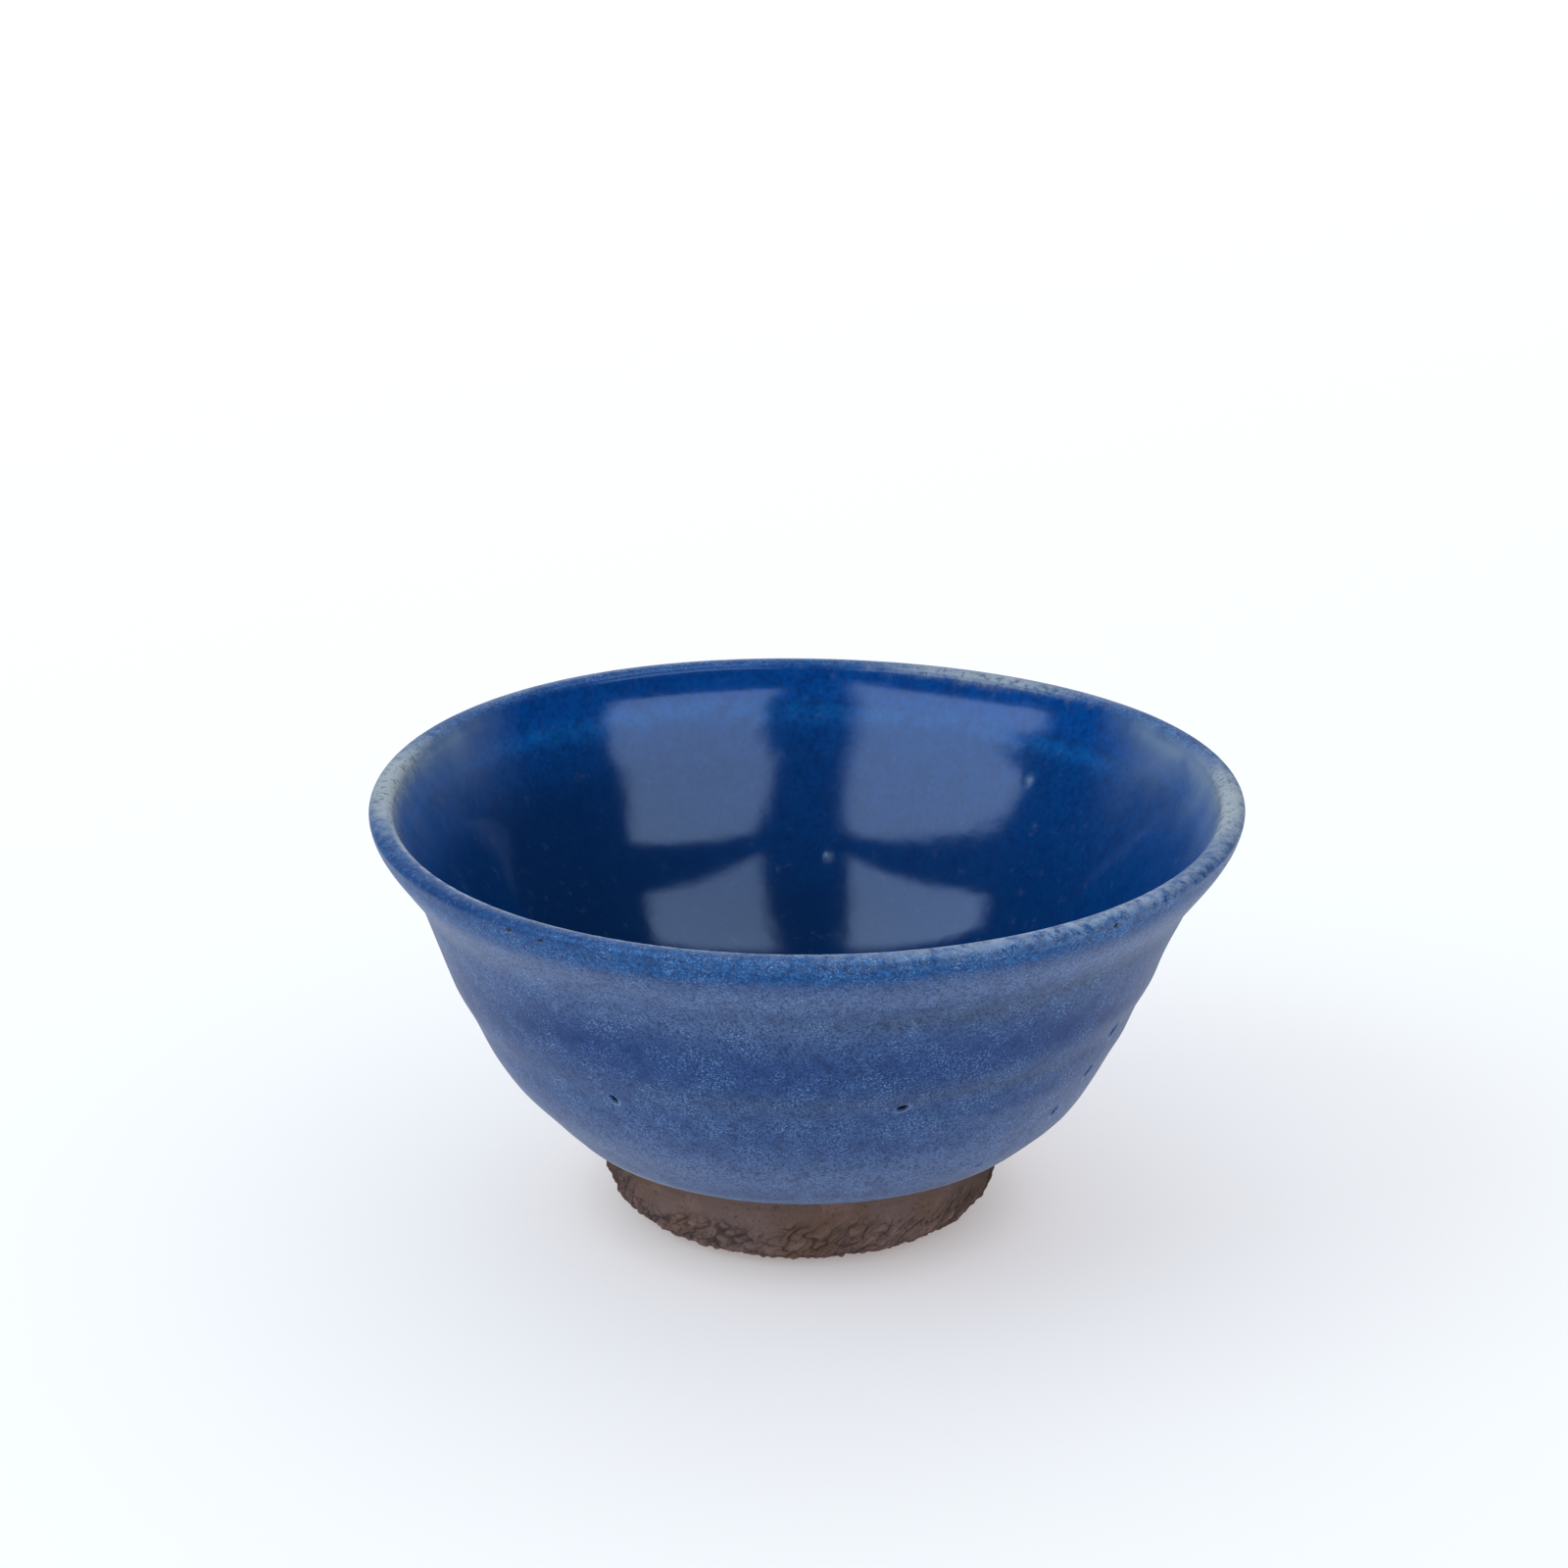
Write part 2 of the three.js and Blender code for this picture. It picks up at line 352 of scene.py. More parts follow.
def pinhole_fields(angle, distance, radius):
    """How far in a pinhole each point is, for the painted shade inside it, how far on a pinhole's rim, for a painted
    highlight that is strongest on the rim's lower right side, and the relief that both make.
    """
    pit = np.zeros_like(angle)
    halo = np.zeros_like(angle)
    relief = np.zeros_like(angle)
    for degrees, height, width, length, tilt, depth in PINHOLES:
        across = radius * turn_between(angle, math.radians(degrees))
        up = distance - WALL.distance_at_height(height)
        lean = math.radians(tilt)
        short = (across * math.cos(lean) - up * math.sin(lean)) / (width / 2)
        long = (across * math.sin(lean) + up * math.cos(lean)) / (length / 2)
        reach = np.hypot(short, long)
        hole = 1 - smoothstep(reach, PIT_FLOOR, PIT_EDGE)
        rim = bell(reach, PIT_RIM_MIDDLE, PIT_RIM_REACH)
        # The rim's painted highlight is strongest on its lower right side
        low_right = 0.5 + 0.5 * np.clip((across - up) / length, -1, 1)
        pit = np.maximum(pit, hole)
        halo = np.maximum(halo, rim * low_right)
        relief += PIT_RIM * rim - depth * hole
    return pit, halo, np.maximum(relief, PIT_LEFT - coat_depth(distance))


def blister_fields(angle, distance, radius):
    """How far on a blister each point is, and the relief that it makes."""
    swollen = np.zeros_like(angle)
    relief = np.zeros_like(angle)
    for degrees, height, size, rise in BLISTERS:
        across = radius * turn_between(angle, math.radians(degrees))
        up = distance - INSIDE_START - WELL.distance_at_height(height)
        hump = bell(np.hypot(across, up), 0, size)
        swollen = np.maximum(swollen, hump)
        relief += rise * hump
    return swollen, relief


def ring_relief(rings, angle, height):
    """Ridges and hollows at given heights that rise, sink and fade on their way round."""
    relief = np.zeros_like(height)
    for seed, (middle, half_width, bulge) in enumerate(rings):
        middles = middle + RING_WANDER * clouds_round(angle, RING_WANDER_SIZE, seed + 0.3)
        middles = middles + RING_CLIMB * side(angle, RING_CLIMB_SIDE, RING_CLIMB_REACH)
        strength = 1 - RING_FADE + RING_FADE * clouds_round(angle, RING_FADE_SIZE, seed + 7.7)
        relief += bulge * strength * bell(height, middles, half_width)
    return relief


def dent_relief(angle, points):
    relief = np.zeros_like(angle)
    for degrees, middle, around, up, depth in DENTS:
        across = np.hypot(points[:, 0], points[:, 1]) * turn_between(angle, math.radians(degrees))
        relief -= depth * bell(across, 0, around) * bell(points[:, 2], middle, up)
    return relief


def coat_relief(angle, distance, points):
    """Relief of the glaze away from its pinholes and blisters."""
    height = points[:, 2]
    outside = distance < WALL.length
    calm = smoothstep(distance, 0, CALM_LOW) * smoothstep(WALL.length - distance, 0, CALM_HIGH)
    wall = ring_relief(WALL_RINGS, angle, height) + calm * SWELL * clouds(points, SWELL_SIZE, 3.1)
    wall += EDGE_ROLL * bell(distance, 0, EDGE_ROLL_REACH) + dent_relief(angle, points)
    still = smoothstep(distance - INSIDE_START, 0, CALM_HIGH)
    well = ring_relief(WELL_RINGS, angle, height) + WELL_SWELL * clouds(points, WELL_SWELL_SIZE, 8.2)
    dimple = np.where(outside, DIMPLE, WELL_DIMPLE) * clouds(points, DIMPLE_SIZE, 5.5)
    return np.where(outside, wall, still * well) + dimple


def hollow_depth(distance, height):
    """How far the inside wall lies back under the lip, glaze and clay together."""
    reach = np.where(height > HOLLOW, HOLLOW_UP, HOLLOW_DOWN)
    return HOLLOW_DEPTH * bell(height, HOLLOW, reach) * smoothstep(distance, CREST, INSIDE_START)


def bent(points):
    """Shifts and warps points of a turned shape as the thrown cup is."""
    x, y, z = points.T
    share = smoothstep(z, UNDERSIDE, LIP[1])
    reach, angle = np.hypot(x, y) / LIP_RADIUS, np.arctan2(y, x)
    lift = RIM_TILT * reach * np.cos(angle - RIM_TILT_SIDE)
    lift += RIM_SADDLE * reach**2 * np.cos(2 * (angle - RIM_SADDLE_SIDE))
    lift += RIM_WAVE * reach**3 * np.cos(3 * (angle - RIM_WAVE_SIDE))
    drift = SHOULDER_DRIFT * bell(z, SHOULDER_DRIFT_HEIGHT, SHOULDER_DRIFT_REACH)
    drift += BELLY_DRIFT * bell(z, BELLY_DRIFT_HEIGHT, BELLY_DRIFT_REACH)
    drift *= smoothstep(z, 0, UNDERSIDE)
    return np.column_stack([x + share * RIM_SHIFT + drift, y, z + share * lift])


# Tones of the glaze, as shares from 0 to 1

# Bands outside, painted into the glaze's colour: deep bands are deeper blue darkened as painted shade where the wall
# mirrors little light, pale and grey bands are painted sheen where it mirrors the bright floor. Each: middle height,
# half height, strength, middle angle and reach in degrees
DEEP_AND_SHADED_BANDS = (
    (26.4, 2.9, 0.66, -90, 400),
    (27.2, 3.0, 0.95, -124, 24),
    (26.8, 2.4, 1.00, -46, 22),
    (19.6, 0.9, 0.90, -44, 12),
    (22.0, 1.4, 0.90, -34, 9),
    (17.4, 1.5, 0.50, -82, 26),
)
PALE_SHEEN_BANDS = (
    (35.2, 1.7, 0.85, -90, 400),
    (31.6, 1.6, 0.60, -108, 40),
    (13.5, 4.0, 0.80, -90, 400),
    (33.4, 1.7, 0.70, -130, 22),
    (9.2, 1.0, 0.90, -90, 400),
)
GREY_SHEEN_BANDS = (
    (32.4, 1.2, 0.80, -64, 34),
    (23.2, 1.1, 0.60, -75, 50),
    (22.3, 0.9, 0.80, -40, 14),
)
BAND_WANDER, BAND_WANDER_SIZE = 0.9, 22.0
# The side where the glaze's lower edge is milky
EDGE_MILKY_SIDE, EDGE_MILKY_REACH = -135, 24
BAND_BLUR, BAND_BLUR_SIZE = 0.45, 7.0

# The saturated band under the lip: the heights between which it sets in, and the side where it is weaker
LIP_BLUE_LOW, LIP_BLUE_HIGH = 36.8, 38.1
LIP_BLUE_LOSS, LIP_BLUE_LOSS_SIDE, LIP_BLUE_LOSS_REACH = 0.5, -22, 26
LIP_BLUE_DROP, LIP_BLUE_DROP_SIDE, LIP_BLUE_DROP_REACH = 1.1, -137, 20

# Places where the lip's coat is thin and pale; at both ends of the lip the pale also stands in as a painted
# reflection of the bright backdrop.
# Each: middle angle, reach in degrees, distance inside the crest, half width, strength
THIN_LIP_AND_SHEEN = (
    (63, 18, 0.6, 1.0, 0.75),
    (176, 17, 0.2, 2.0, 1.0),
    (-162, 14, 0.7, 0.5, 0.6),
    (-4, 17, 0.2, 2.0, 0.9),
)
# Places where a highlight is painted along the lip's inner edge, in the same way
LIP_HIGHLIGHT_PLACES = (
    (-140, 22, 0.60, 0.40, 0.95),
    (-95, 48, 0.45, 0.30, 0.85),
    (-52, 36, -0.4, 1.0, 0.50),
)
# Places where it is darker
DARK_LIP = (
    (-140, 24, -1.2, 1.4, 0.9),
)

# Milky glaze inside, with a painted reflection of the bright backdrop in its colour, which fades down from the lip:
# two middle angles, and where it starts and ends beside them
MILKY_SIDES = (1, 179)
MILKY_FULL, MILKY_NONE = 25, 42
# Its top, fade and strength, and how much stronger the painted reflection is on the right side
MILKY_TOP, MILKY_FADE, MILKY_MOST, MILKY_RIGHT = 38.7, 2.5, 1.0, 0.12

# The pale ring inside: middle height, how much it tilts, its reach up and down, and where it fades at both sides
PALE_RING, PALE_RING_TILT, PALE_RING_UP, PALE_RING_DOWN = 35.7, 0.7, 0.7, 1.0
PALE_RING_NONE, PALE_RING_FULL = 24, 42

# Painted shade inside, on the left wall and low in the well: middle angle, reach in degrees, the heights between
# which it sets in, strength
INSIDE_SHADE_PLACES = (
    (150, 42, 35.0, 30.0, 0.45),
    (100, 36, 24.0, 18.0, 0.40),
)


def band_tone(bands, angle, height, seed):
    """The strongest of several bands at each point, with borders that wander."""
    tone = np.zeros_like(height)
    for number, (middle, half, strength, degrees, reach) in enumerate(bands):
        wander = BAND_WANDER * clouds_round(angle, BAND_WANDER_SIZE, seed + 3.1 * number)
        here = strength * bell(height, middle + wander * min(half, 1), half) * side(angle, degrees, reach)
        tone = np.maximum(tone, here)
    return tone


def lip_tone(places, angle, inside_crest):
    tone = np.zeros_like(angle)
    for degrees, reach, middle, half, strength in places:
        tone = np.maximum(tone, strength * side(angle, degrees, reach) * bell(inside_crest, middle, half))
    return tone


def milky_sheen_tone(angle, height):
    beside = np.min([abs(turn_between(angle, math.radians(degrees))) for degrees in MILKY_SIDES], axis=0)
    share = 1 - smoothstep(np.degrees(beside), MILKY_FULL, MILKY_NONE)
    most = MILKY_MOST + MILKY_RIGHT * np.cos(angle)
    return most * share * np.exp(np.minimum(height - MILKY_TOP, 0) / MILKY_FADE)


def pale_ring_tone(angle, height):
    above = height - PALE_RING + PALE_RING_TILT * np.cos(angle)
    beside = np.min([abs(turn_between(angle, math.radians(degrees))) for degrees in MILKY_SIDES], axis=0)
    across = np.where(above > 0, bell(above, 0, PALE_RING_UP), bell(above, 0, PALE_RING_DOWN))
    return across * smoothstep(np.degrees(beside), PALE_RING_NONE, PALE_RING_FULL)


def inside_shade_tone(angle, height):
    tone = np.zeros_like(angle)
    for degrees, reach, high, low, strength in INSIDE_SHADE_PLACES:
        tone = np.maximum(tone, strength * side(angle, degrees, reach) * smoothstep(-height, -high, -low))
    return tone


def lip_blue_tone(angle, height):
    loss = LIP_BLUE_LOSS * side(angle, LIP_BLUE_LOSS_SIDE, LIP_BLUE_LOSS_REACH)
    drop = LIP_BLUE_DROP * side(angle, LIP_BLUE_DROP_SIDE, LIP_BLUE_DROP_REACH)
    return (1 - loss) * smoothstep(height + drop, LIP_BLUE_LOW, LIP_BLUE_HIGH)


def tone_fields(angle, distance, points):
    """Shares of the glaze's tones at each point, and how far each point lies inside the lip's crest."""
    height = points[:, 2] + BAND_BLUR * clouds(points, BAND_BLUR_SIZE, 6.6)
    outside = distance < WALL.length
    inside_crest = distance - CREST
    return {
        # Outside bands: deeper blue with painted shade, and pale and grey painted sheen
        "deep_and_shaded": np.where(outside, band_tone(DEEP_AND_SHADED_BANDS, angle, height, 1.4), 0),
        "pale": np.where(outside, band_tone(PALE_SHEEN_BANDS, angle, height, 2.9), 0),
        "grey_sheen": np.where(outside, band_tone(GREY_SHEEN_BANDS, angle, height, 4.7), 0),
        "lip_blue": lip_blue_tone(angle, height),
        # Milky glaze with a painted reflection near the lip's ends
        "milky_sheen": np.where(outside, 0, milky_sheen_tone(angle, height)),
        # Painted shade inside
        "inside_shade": np.where(outside, 0, inside_shade_tone(angle, height)),
        "ring": np.where(outside, 0, pale_ring_tone(angle, height)),
        # Thin pale coat on the lip, at its ends also a painted reflection
        "thin": lip_tone(THIN_LIP_AND_SHEEN, angle, inside_crest),
        # A painted highlight along the lip's inner edge
        "light": lip_tone(LIP_HIGHLIGHT_PLACES, angle, inside_crest),
        "dark": lip_tone(DARK_LIP, angle, inside_crest),
        "edge": side(angle, EDGE_MILKY_SIDE, EDGE_MILKY_REACH),
        "inwards": inside_crest,
    }


# Meshes

def turned_sheet(name, columns, rows, closed, patches=()):
    """A sheet of quads on a unit cylinder, with the row number as its height. Its patches are divided finely."""
    turns = 2 * math.pi * np.arange(columns) / columns
    angle, row = np.meshgrid(turns, np.arange(rows, dtype=float))
    i, j = np.meshgrid(np.arange(rows if closed else rows - 1), np.arange(columns), indexing="ij")
    low, high = i * columns, (i + 1) % rows * columns
    after = (j + 1) % columns
    quads = np.stack([low + j, low + after, high + after, high + j], axis=-1).reshape(-1, 4)
    mesh = bpy.data.meshes.new(name)
    mesh.from_pydata(on_circle(angle.ravel(), 1.0, row.ravel()).tolist(), [], quads.tolist())
    if patches:
        divide_patches(mesh, patches)
    return mesh


def divide_patches(mesh, patches):
    """Divides the faces near given angles and rows, but none that closes the sheet on itself."""
    sheet = bmesh.new()
    sheet.from_mesh(mesh)
    middles = np.array([face.calc_center_median() for face in sheet.faces])
    turn = np.arctan2(middles[:, 1], middles[:, 0])
    rows = [[corner.co.z for corner in face.verts] for face in sheet.faces]
    closing = np.ptp(rows, axis=1) > 1.5
    near = np.zeros(len(middles), bool)
    for angle, row, half_turn, half_rows in patches:
        near |= (np.abs(turn_between(turn, angle)) < half_turn) & (np.abs(middles[:, 2] - row) < half_rows)
    near &= ~closing
    sheet.faces.ensure_lookup_table()
    edges = {edge for i in np.flatnonzero(near) for edge in sheet.faces[i].edges}
    ordered = sorted(edges, key=lambda edge: edge.index)
    bmesh.ops.subdivide_edges(sheet, edges=ordered, cuts=PATCH_CUTS, use_grid_fill=True, use_single_edge=True)
    sheet.to_mesh(mesh)
    sheet.free()


def sheet_places(mesh):
    """The angle and row of each corner of a sheet."""
    places = np.empty(3 * len(mesh.vertices))
    mesh.vertices.foreach_get("co", places)
    x, y, row = places.reshape(-1, 3).T
    return np.arctan2(y, x), row


def lay_out(mesh, angle, row, row_distance, closed):
    """Unrolls the sheet into a flat texture layout, by angle and by distance across the section."""
    corner = np.empty(len(mesh.loops), np.int32)
    mesh.loops.foreach_get("vertex_index", corner)
    start = np.empty(len(mesh.polygons), np.int32)
    mesh.polygons.foreach_get("loop_start", start)
    face = np.repeat(np.arange(len(start)), np.diff(np.append(start, len(corner))))
    angles, rows = angle[corner], row[corner]
    middle = np.arctan2(np.add.reduceat(np.sin(angles), start), np.add.reduceat(np.cos(angles), start))[face]
    around = middle + turn_between(angles, middle)
    count = len(row_distance)
    total = row_distance[-1] + (HIDDEN_ROW if closed else 0)
    closing = (np.maximum.reduceat(rows, start) - np.minimum.reduceat(rows, start) > 1.5)[face]
    rows = np.where(closing & (rows < 1), count, rows)
    across = np.interp(rows, np.arange(count + 1), np.append(row_distance, total) / total)
    layout = mesh.uv_layers.new(name="OFBake")
    layout.uv.foreach_set("vector", np.column_stack([around / (2 * math.pi) + 0.5, across]).ravel())


def finished_piece(mesh, points, fields):
    """The sheet as an object, with its corners moved to the given points and its point fields stored."""
    mesh.vertices.foreach_set("co", (points * MM).ravel())
    for field, values in fields.items():
        mesh.attributes.new(field, "FLOAT", "POINT").data.foreach_set("value", values)
    sheet = bmesh.new()
    sheet.from_mesh(mesh)
    bmesh.ops.remove_doubles(sheet, verts=sheet.verts, dist=1e-8)
    bmesh.ops.recalc_face_normals(sheet, faces=sheet.faces)
    sheet.to_mesh(mesh)
    sheet.free()
    mesh.shade_smooth()
    mesh.set_sharp_from_angle(angle=SHARP_EDGE)
    piece = bpy.data.objects.new(mesh.name, mesh)
    bpy.context.scene.collection.objects.link(piece)
    return piece


def even(start, end, gap):
    return np.linspace(start, end, max(2, int(round(abs(end - start) / gap)) + 1))


class Rows:
    """Rows of a section: distance along a line, and how far out of it and along it each row is moved."""

    def __init__(self):
        self.distance, self.out, self.slide, self.skin = [], [], [], []

    def add(self, distance, out=0.0, slide=0.0, skin=0.0):
        for values, new in zip((self.distance, self.out, self.slide, self.skin), (distance, out, slide, skin)):
            values.extend(np.broadcast_to(new, np.shape(distance)))
        return self

    def at(self, row):
        marks = np.arange(len(self.distance) + 1)
        parts = (self.distance, self.out, self.slide, self.skin)
        return [np.interp(row, marks, np.append(values, values[0])) for values in parts]

    def spread(self):
        """Distance across the section from the first row to each row."""
        place = np.column_stack([self.distance, self.out])
        return np.concatenate([[0], np.cumsum(np.hypot(*np.diff(place, axis=0).T))])


def glaze_rows(start, end, gap, rolled=False):
    """Rows of a coat that is closed on itself: its skin, its underside and, if rolled, its lower edge."""
    rows = Rows().add(even(start, end, gap), skin=1.0)
    back = even(end, start, HIDDEN_ROW)
    rows.add(back, out=BOND_GAP - coat_depth(back))
    if rolled:
        half = (coat_depth(np.array(start)) - BOND_GAP) / 2
        turn = np.linspace(math.pi, 0, ROLL_ROWS + 2)[1:-1]
        rows.add(np.full(ROLL_ROWS, start), half * (np.cos(turn) - 1), -half * np.sin(turn), skin=1.0)
    return rows


def well_rows(start, gap):
    """Rows of the inside coat: its underside from the axis up to the lip, then its skin down again."""
    back = even(COAT.length, start, HIDDEN_ROW)
    rows = Rows().add(back, out=BOND_GAP - coat_depth(back))
    return rows.add(even(start, COAT.length, gap), skin=1.0)


def pinhole_patches(row_gap):
    patches = []
    for degrees, height, *_ in PINHOLES:
        distance = WALL.distance_at_height(height)
        radius = WALL.point([distance])[0, 0]
        patches.append((math.radians(degrees), distance / row_gap, PATCH_REACH / radius, PATCH_REACH / row_gap))
    return patches


def glaze_piece(name, rows, closed, patches=()):
    """A coat of glaze, turned from its rows and given its relief."""
    mesh = turned_sheet(name, GLAZE_COLUMNS, len(rows.distance), closed, patches)
    angle, row = sheet_places(mesh)
    distance, out, slide, skin = rows.at(row)
    wave = EDGE_WAVE * clouds_round(angle, EDGE_WAVE_SIZE, 2.2, SHOULDER_RADIUS)
    distance = distance + wave * np.clip(1 - distance / EDGE_WAVE_REACH, 0, 1)
    radius, height = COAT.point(distance).T
    points = on_circle(angle, radius, height)
    pit, halo, dents = pinhole_fields(angle, distance, radius)
    blister, humps = blister_fields(angle, distance, radius)
    fields = tone_fields(angle, distance, points)
    fields.update(pit=pit * skin, halo=halo * skin, blister=blister * skin)
    along_r, along_z = COAT.direction(distance).T
    out = out + coat_relief(angle, distance, points) - hollow_depth(distance, height) + skin * (dents + humps)
    radius = radius + out * along_z + slide * along_r
    height = height - out * along_r + slide * along_z
    lay_out(mesh, angle, row, rows.spread(), closed)
    return finished_piece(mesh, bent(on_circle(angle, np.maximum(radius, 0), height)), fields)


# The clay

TURNING_RING, TURNING_PITCH = 0.06, 1.1
CLAY_GRAIN, CLAY_GRAIN_SIZE = 0.03, 0.7
CLAY_SHOWN_ROW = 0.4


def bowl_line():
    """The clay from the middle of the underside out to the shoulder, up, over the lip and down inside.

    Gives the radius of the flat underside, the line, and how far along the glaze's skin each of its points lies.
    """
    distance = np.linspace(0, COAT.length, CURVE_STEPS)
    along_r, along_z = COAT.direction(distance).T
    depth = coat_depth(distance) + hollow_depth(distance, COAT.point(distance)[:, 1])
    under_glaze = COAT.point(distance) + np.column_stack([-depth * along_z, depth * along_r])
    lowest = under_glaze[0]
    edge = lowest[0] - (lowest[1] - UNDERSIDE) * math.tan(math.radians(SHOULDER_LEAN))
    under_glaze[-1] = (0, UNDERSIDE + FLOOR_THICKNESS)
    disc = straight((0, UNDERSIDE), (edge, UNDERSIDE))
    line = joined(disc, straight((edge, UNDERSIDE), lowest), under_glaze)
    along_skin = np.concatenate([np.zeros(len(line) - CURVE_STEPS + 1), distance[1:]])
    return edge, line, along_skin


def bowl_piece(name):
    edge, points, along_skin = bowl_line()
    line = Line(points)
    rows = Rows().add(even(0, edge, CLAY_SHOWN_ROW), skin=1.0)
    rows.add(even(edge, line.length, HIDDEN_ROW / 4)[1:])
    mesh = turned_sheet(name, CLAY_COLUMNS, len(rows.distance), False)
    angle, row = sheet_places(mesh)
    distance, _, _, skin = rows.at(row)
    radius, height = line.point(distance).T
    relief = TURNING_RING * np.sin(2 * math.pi * distance / TURNING_PITCH)
    relief += CLAY_GRAIN * clouds(on_circle(angle, radius, height), CLAY_GRAIN_SIZE, 4.4)
    within_foot = 1 - smoothstep(radius, FOOT_RADIUS - FOOT_WIDTH - 1.5, FOOT_RADIUS - FOOT_WIDTH - 0.5)
    under = np.interp(distance, line.at, along_skin)
    follow = smoothstep(under, 0, CALM_LOW) * coat_relief(angle, under, on_circle(angle, radius, height))
    along_r, along_z = line.direction(distance).T
    radius = np.maximum(radius + follow * along_z, 0)
    height = height - follow * along_r - skin * within_foot * (relief + TURNING_RING)
    lay_out(mesh, angle, row, rows.spread(), False)
    return finished_piece(mesh, bent(on_circle(angle, radius, height)), {})


# Torn clay of the foot: where it ends, and the length, lean and bend of its lumps
TEAR_TOP, TEAR_TOP_REACH, TEAR_TOP_WANDER, TEAR_TOP_SIZE = 5.8, 2.2, 1.8, 3.5
LUMP_LENGTH = 1.4
LUMP_LEAN, LUMP_LEAN_SIDE = math.radians(3.0), math.radians(-50)
BEND, BEND_SIZE = 0.5, 1.2
# Its lumps: size, rise and how dark the painted shade in the creases between them is
LUMPS = (
    (1.7, 0.45, 0.85),
    (0.9, 0.32, 0.6),
    (0.45, 0.12, 0.3),
)
CREASE, SINK = 0.16, 0.3
# How far the whole foot is worn, and how far it sits off the middle
FOOT_WEAR, FOOT_SHIFT = 0.18, -0.16
# The rise of a lump over which its painted highlight sets in
LUMP_LIGHT_LOW, LUMP_LIGHT_HIGH = 0.0, 0.2
# Its smooth upper part, and pocks all over
SCRATCH, SCRATCH_SIZE = 0.05, 0.45
DRAG, DRAG_SIZE, DRAG_STRETCH = 0.06, 0.45, (8, 8, 1)
POCK_SIZE, POCK_DEPTH, POCK_RADIUS = 1.3, 0.24, 0.25
# Painted shade on the foot's sides, where it turns away at left and right: angle, reach in degrees, strength
SHADED_SIDES = (
    (-12, 26, 0.80),
    (-168, 20, 0.70),
)
FOOT_SPACING = {"bore": 0.6, "bottom": 0.17, "edge": 0.11, "side": 0.12}


def foot_line_and_rows():
    bore = FOOT_RADIUS - FOOT_WIDTH
    low_bore = (bore + FOOT_BORE_ROUND, FOOT_BORE_ROUND)
    low_edge = (FOOT_RADIUS - FOOT_EDGE_RUN, FOOT_EDGE_RISE)
    parts = (
        ("bore", straight((bore, FOOT_HEIGHT), (bore, FOOT_BORE_ROUND))),
        ("bottom", arc(low_bore, FOOT_BORE_ROUND, FOOT_BORE_ROUND, 180, 270)),
        ("bottom", straight((low_bore[0], 0), (low_edge[0], 0))),
        ("edge", arc(low_edge, FOOT_EDGE_RUN, FOOT_EDGE_RISE, 270, 360)),
        ("side", straight((FOOT_RADIUS, FOOT_EDGE_RISE), (FOOT_RADIUS - FOOT_TAPER, FOOT_HEIGHT))),
    )
    start, marks = 0.0, [np.array([0.0])]
    for kind, points in parts:
        length = Line(points).length
        marks.append(even(start, start + length, FOOT_SPACING[kind])[1:])
        start += length
    rows = Rows().add(np.concatenate(marks), skin=1.0)
    return Line(joined(*[points for _, points in parts])), rows


def foot_relief(angle, radius, height):
    """Relief of the foot, and as shares how closed in each point is, for painted shade in creases and pocks, and how
    far on top of a lump, for a painted highlight.
    """
    places = on_circle(angle, radius, height)
    lean = LUMP_LEAN * (0.4 + 0.6 * np.cos(turn_between(angle, LUMP_LEAN_SIDE)))
    leaning = on_circle(angle - lean * height, radius, height / LUMP_LENGTH)
    leaning += BEND * np.column_stack([clouds(places, BEND_SIZE, seed) for seed in (1.1, 2.2, 3.3)])
    top = TEAR_TOP + TEAR_TOP_WANDER * clouds(places, TEAR_TOP_SIZE, 6.1)
    torn = 1 - smoothstep(height, top - TEAR_TOP_REACH, top)
    torn *= smoothstep(radius, FOOT_RADIUS - FOOT_WIDTH, FOOT_RADIUS - FOOT_EDGE_RUN)
    rough = np.full_like(angle, -SINK)
    clear = np.ones_like(angle)
    for seed, (size, rise, shade) in enumerate(LUMPS):
        lump = abs(clouds(leaning, size, seed + 5.3))
        rough += rise * lump
        clear *= 1 - shade * (1 - smoothstep(lump, 0, CREASE))
    pock_border, pock_value = cells(places, POCK_SIZE, 9.8)
    pock = smoothstep(pock_border, 1.2 - POCK_RADIUS, 1.2) * (pock_value > 0)
    smooth = DRAG * clouds(places, DRAG_SIZE, 3.9, DRAG_STRETCH) + SCRATCH * clouds(places, SCRATCH_SIZE, 7.3)
    relief = torn * rough + (1 - torn) * smooth - POCK_DEPTH * pock - FOOT_WEAR
    return relief, {
        "closed": np.maximum(torn * (1 - clear), pock),
        "lump_highlight": torn * clear * smoothstep(rough, LUMP_LIGHT_LOW, LUMP_LIGHT_HIGH),
    }


def side_shade_tone(angle):
    return sum(strength * side(angle, degrees, reach) for degrees, reach, strength in SHADED_SIDES)


def foot_piece(name):
    line, rows = foot_line_and_rows()
    mesh = turned_sheet(name, FOOT_COLUMNS, len(rows.distance), True)
    angle, row = sheet_places(mesh)
    distance, *_ = rows.at(row)
    radius, height = line.point(distance).T
    relief, fields = foot_relief(angle, radius, height)
    # Painted shade on the foot's left and right sides
    fields["side_shade"] = side_shade_tone(angle)
    along_r, along_z = line.direction(distance).T
    held = smoothstep(FOOT_HEIGHT - height, 0, 0.4)
    radius = radius + held * relief * along_z
    height = np.maximum(height - held * relief * along_r, 0)
    lay_out(mesh, angle, row, rows.spread(), True)
    return finished_piece(mesh, on_circle(angle, radius, height) + np.array([FOOT_SHIFT, 0, 0]), fields)


# Materials

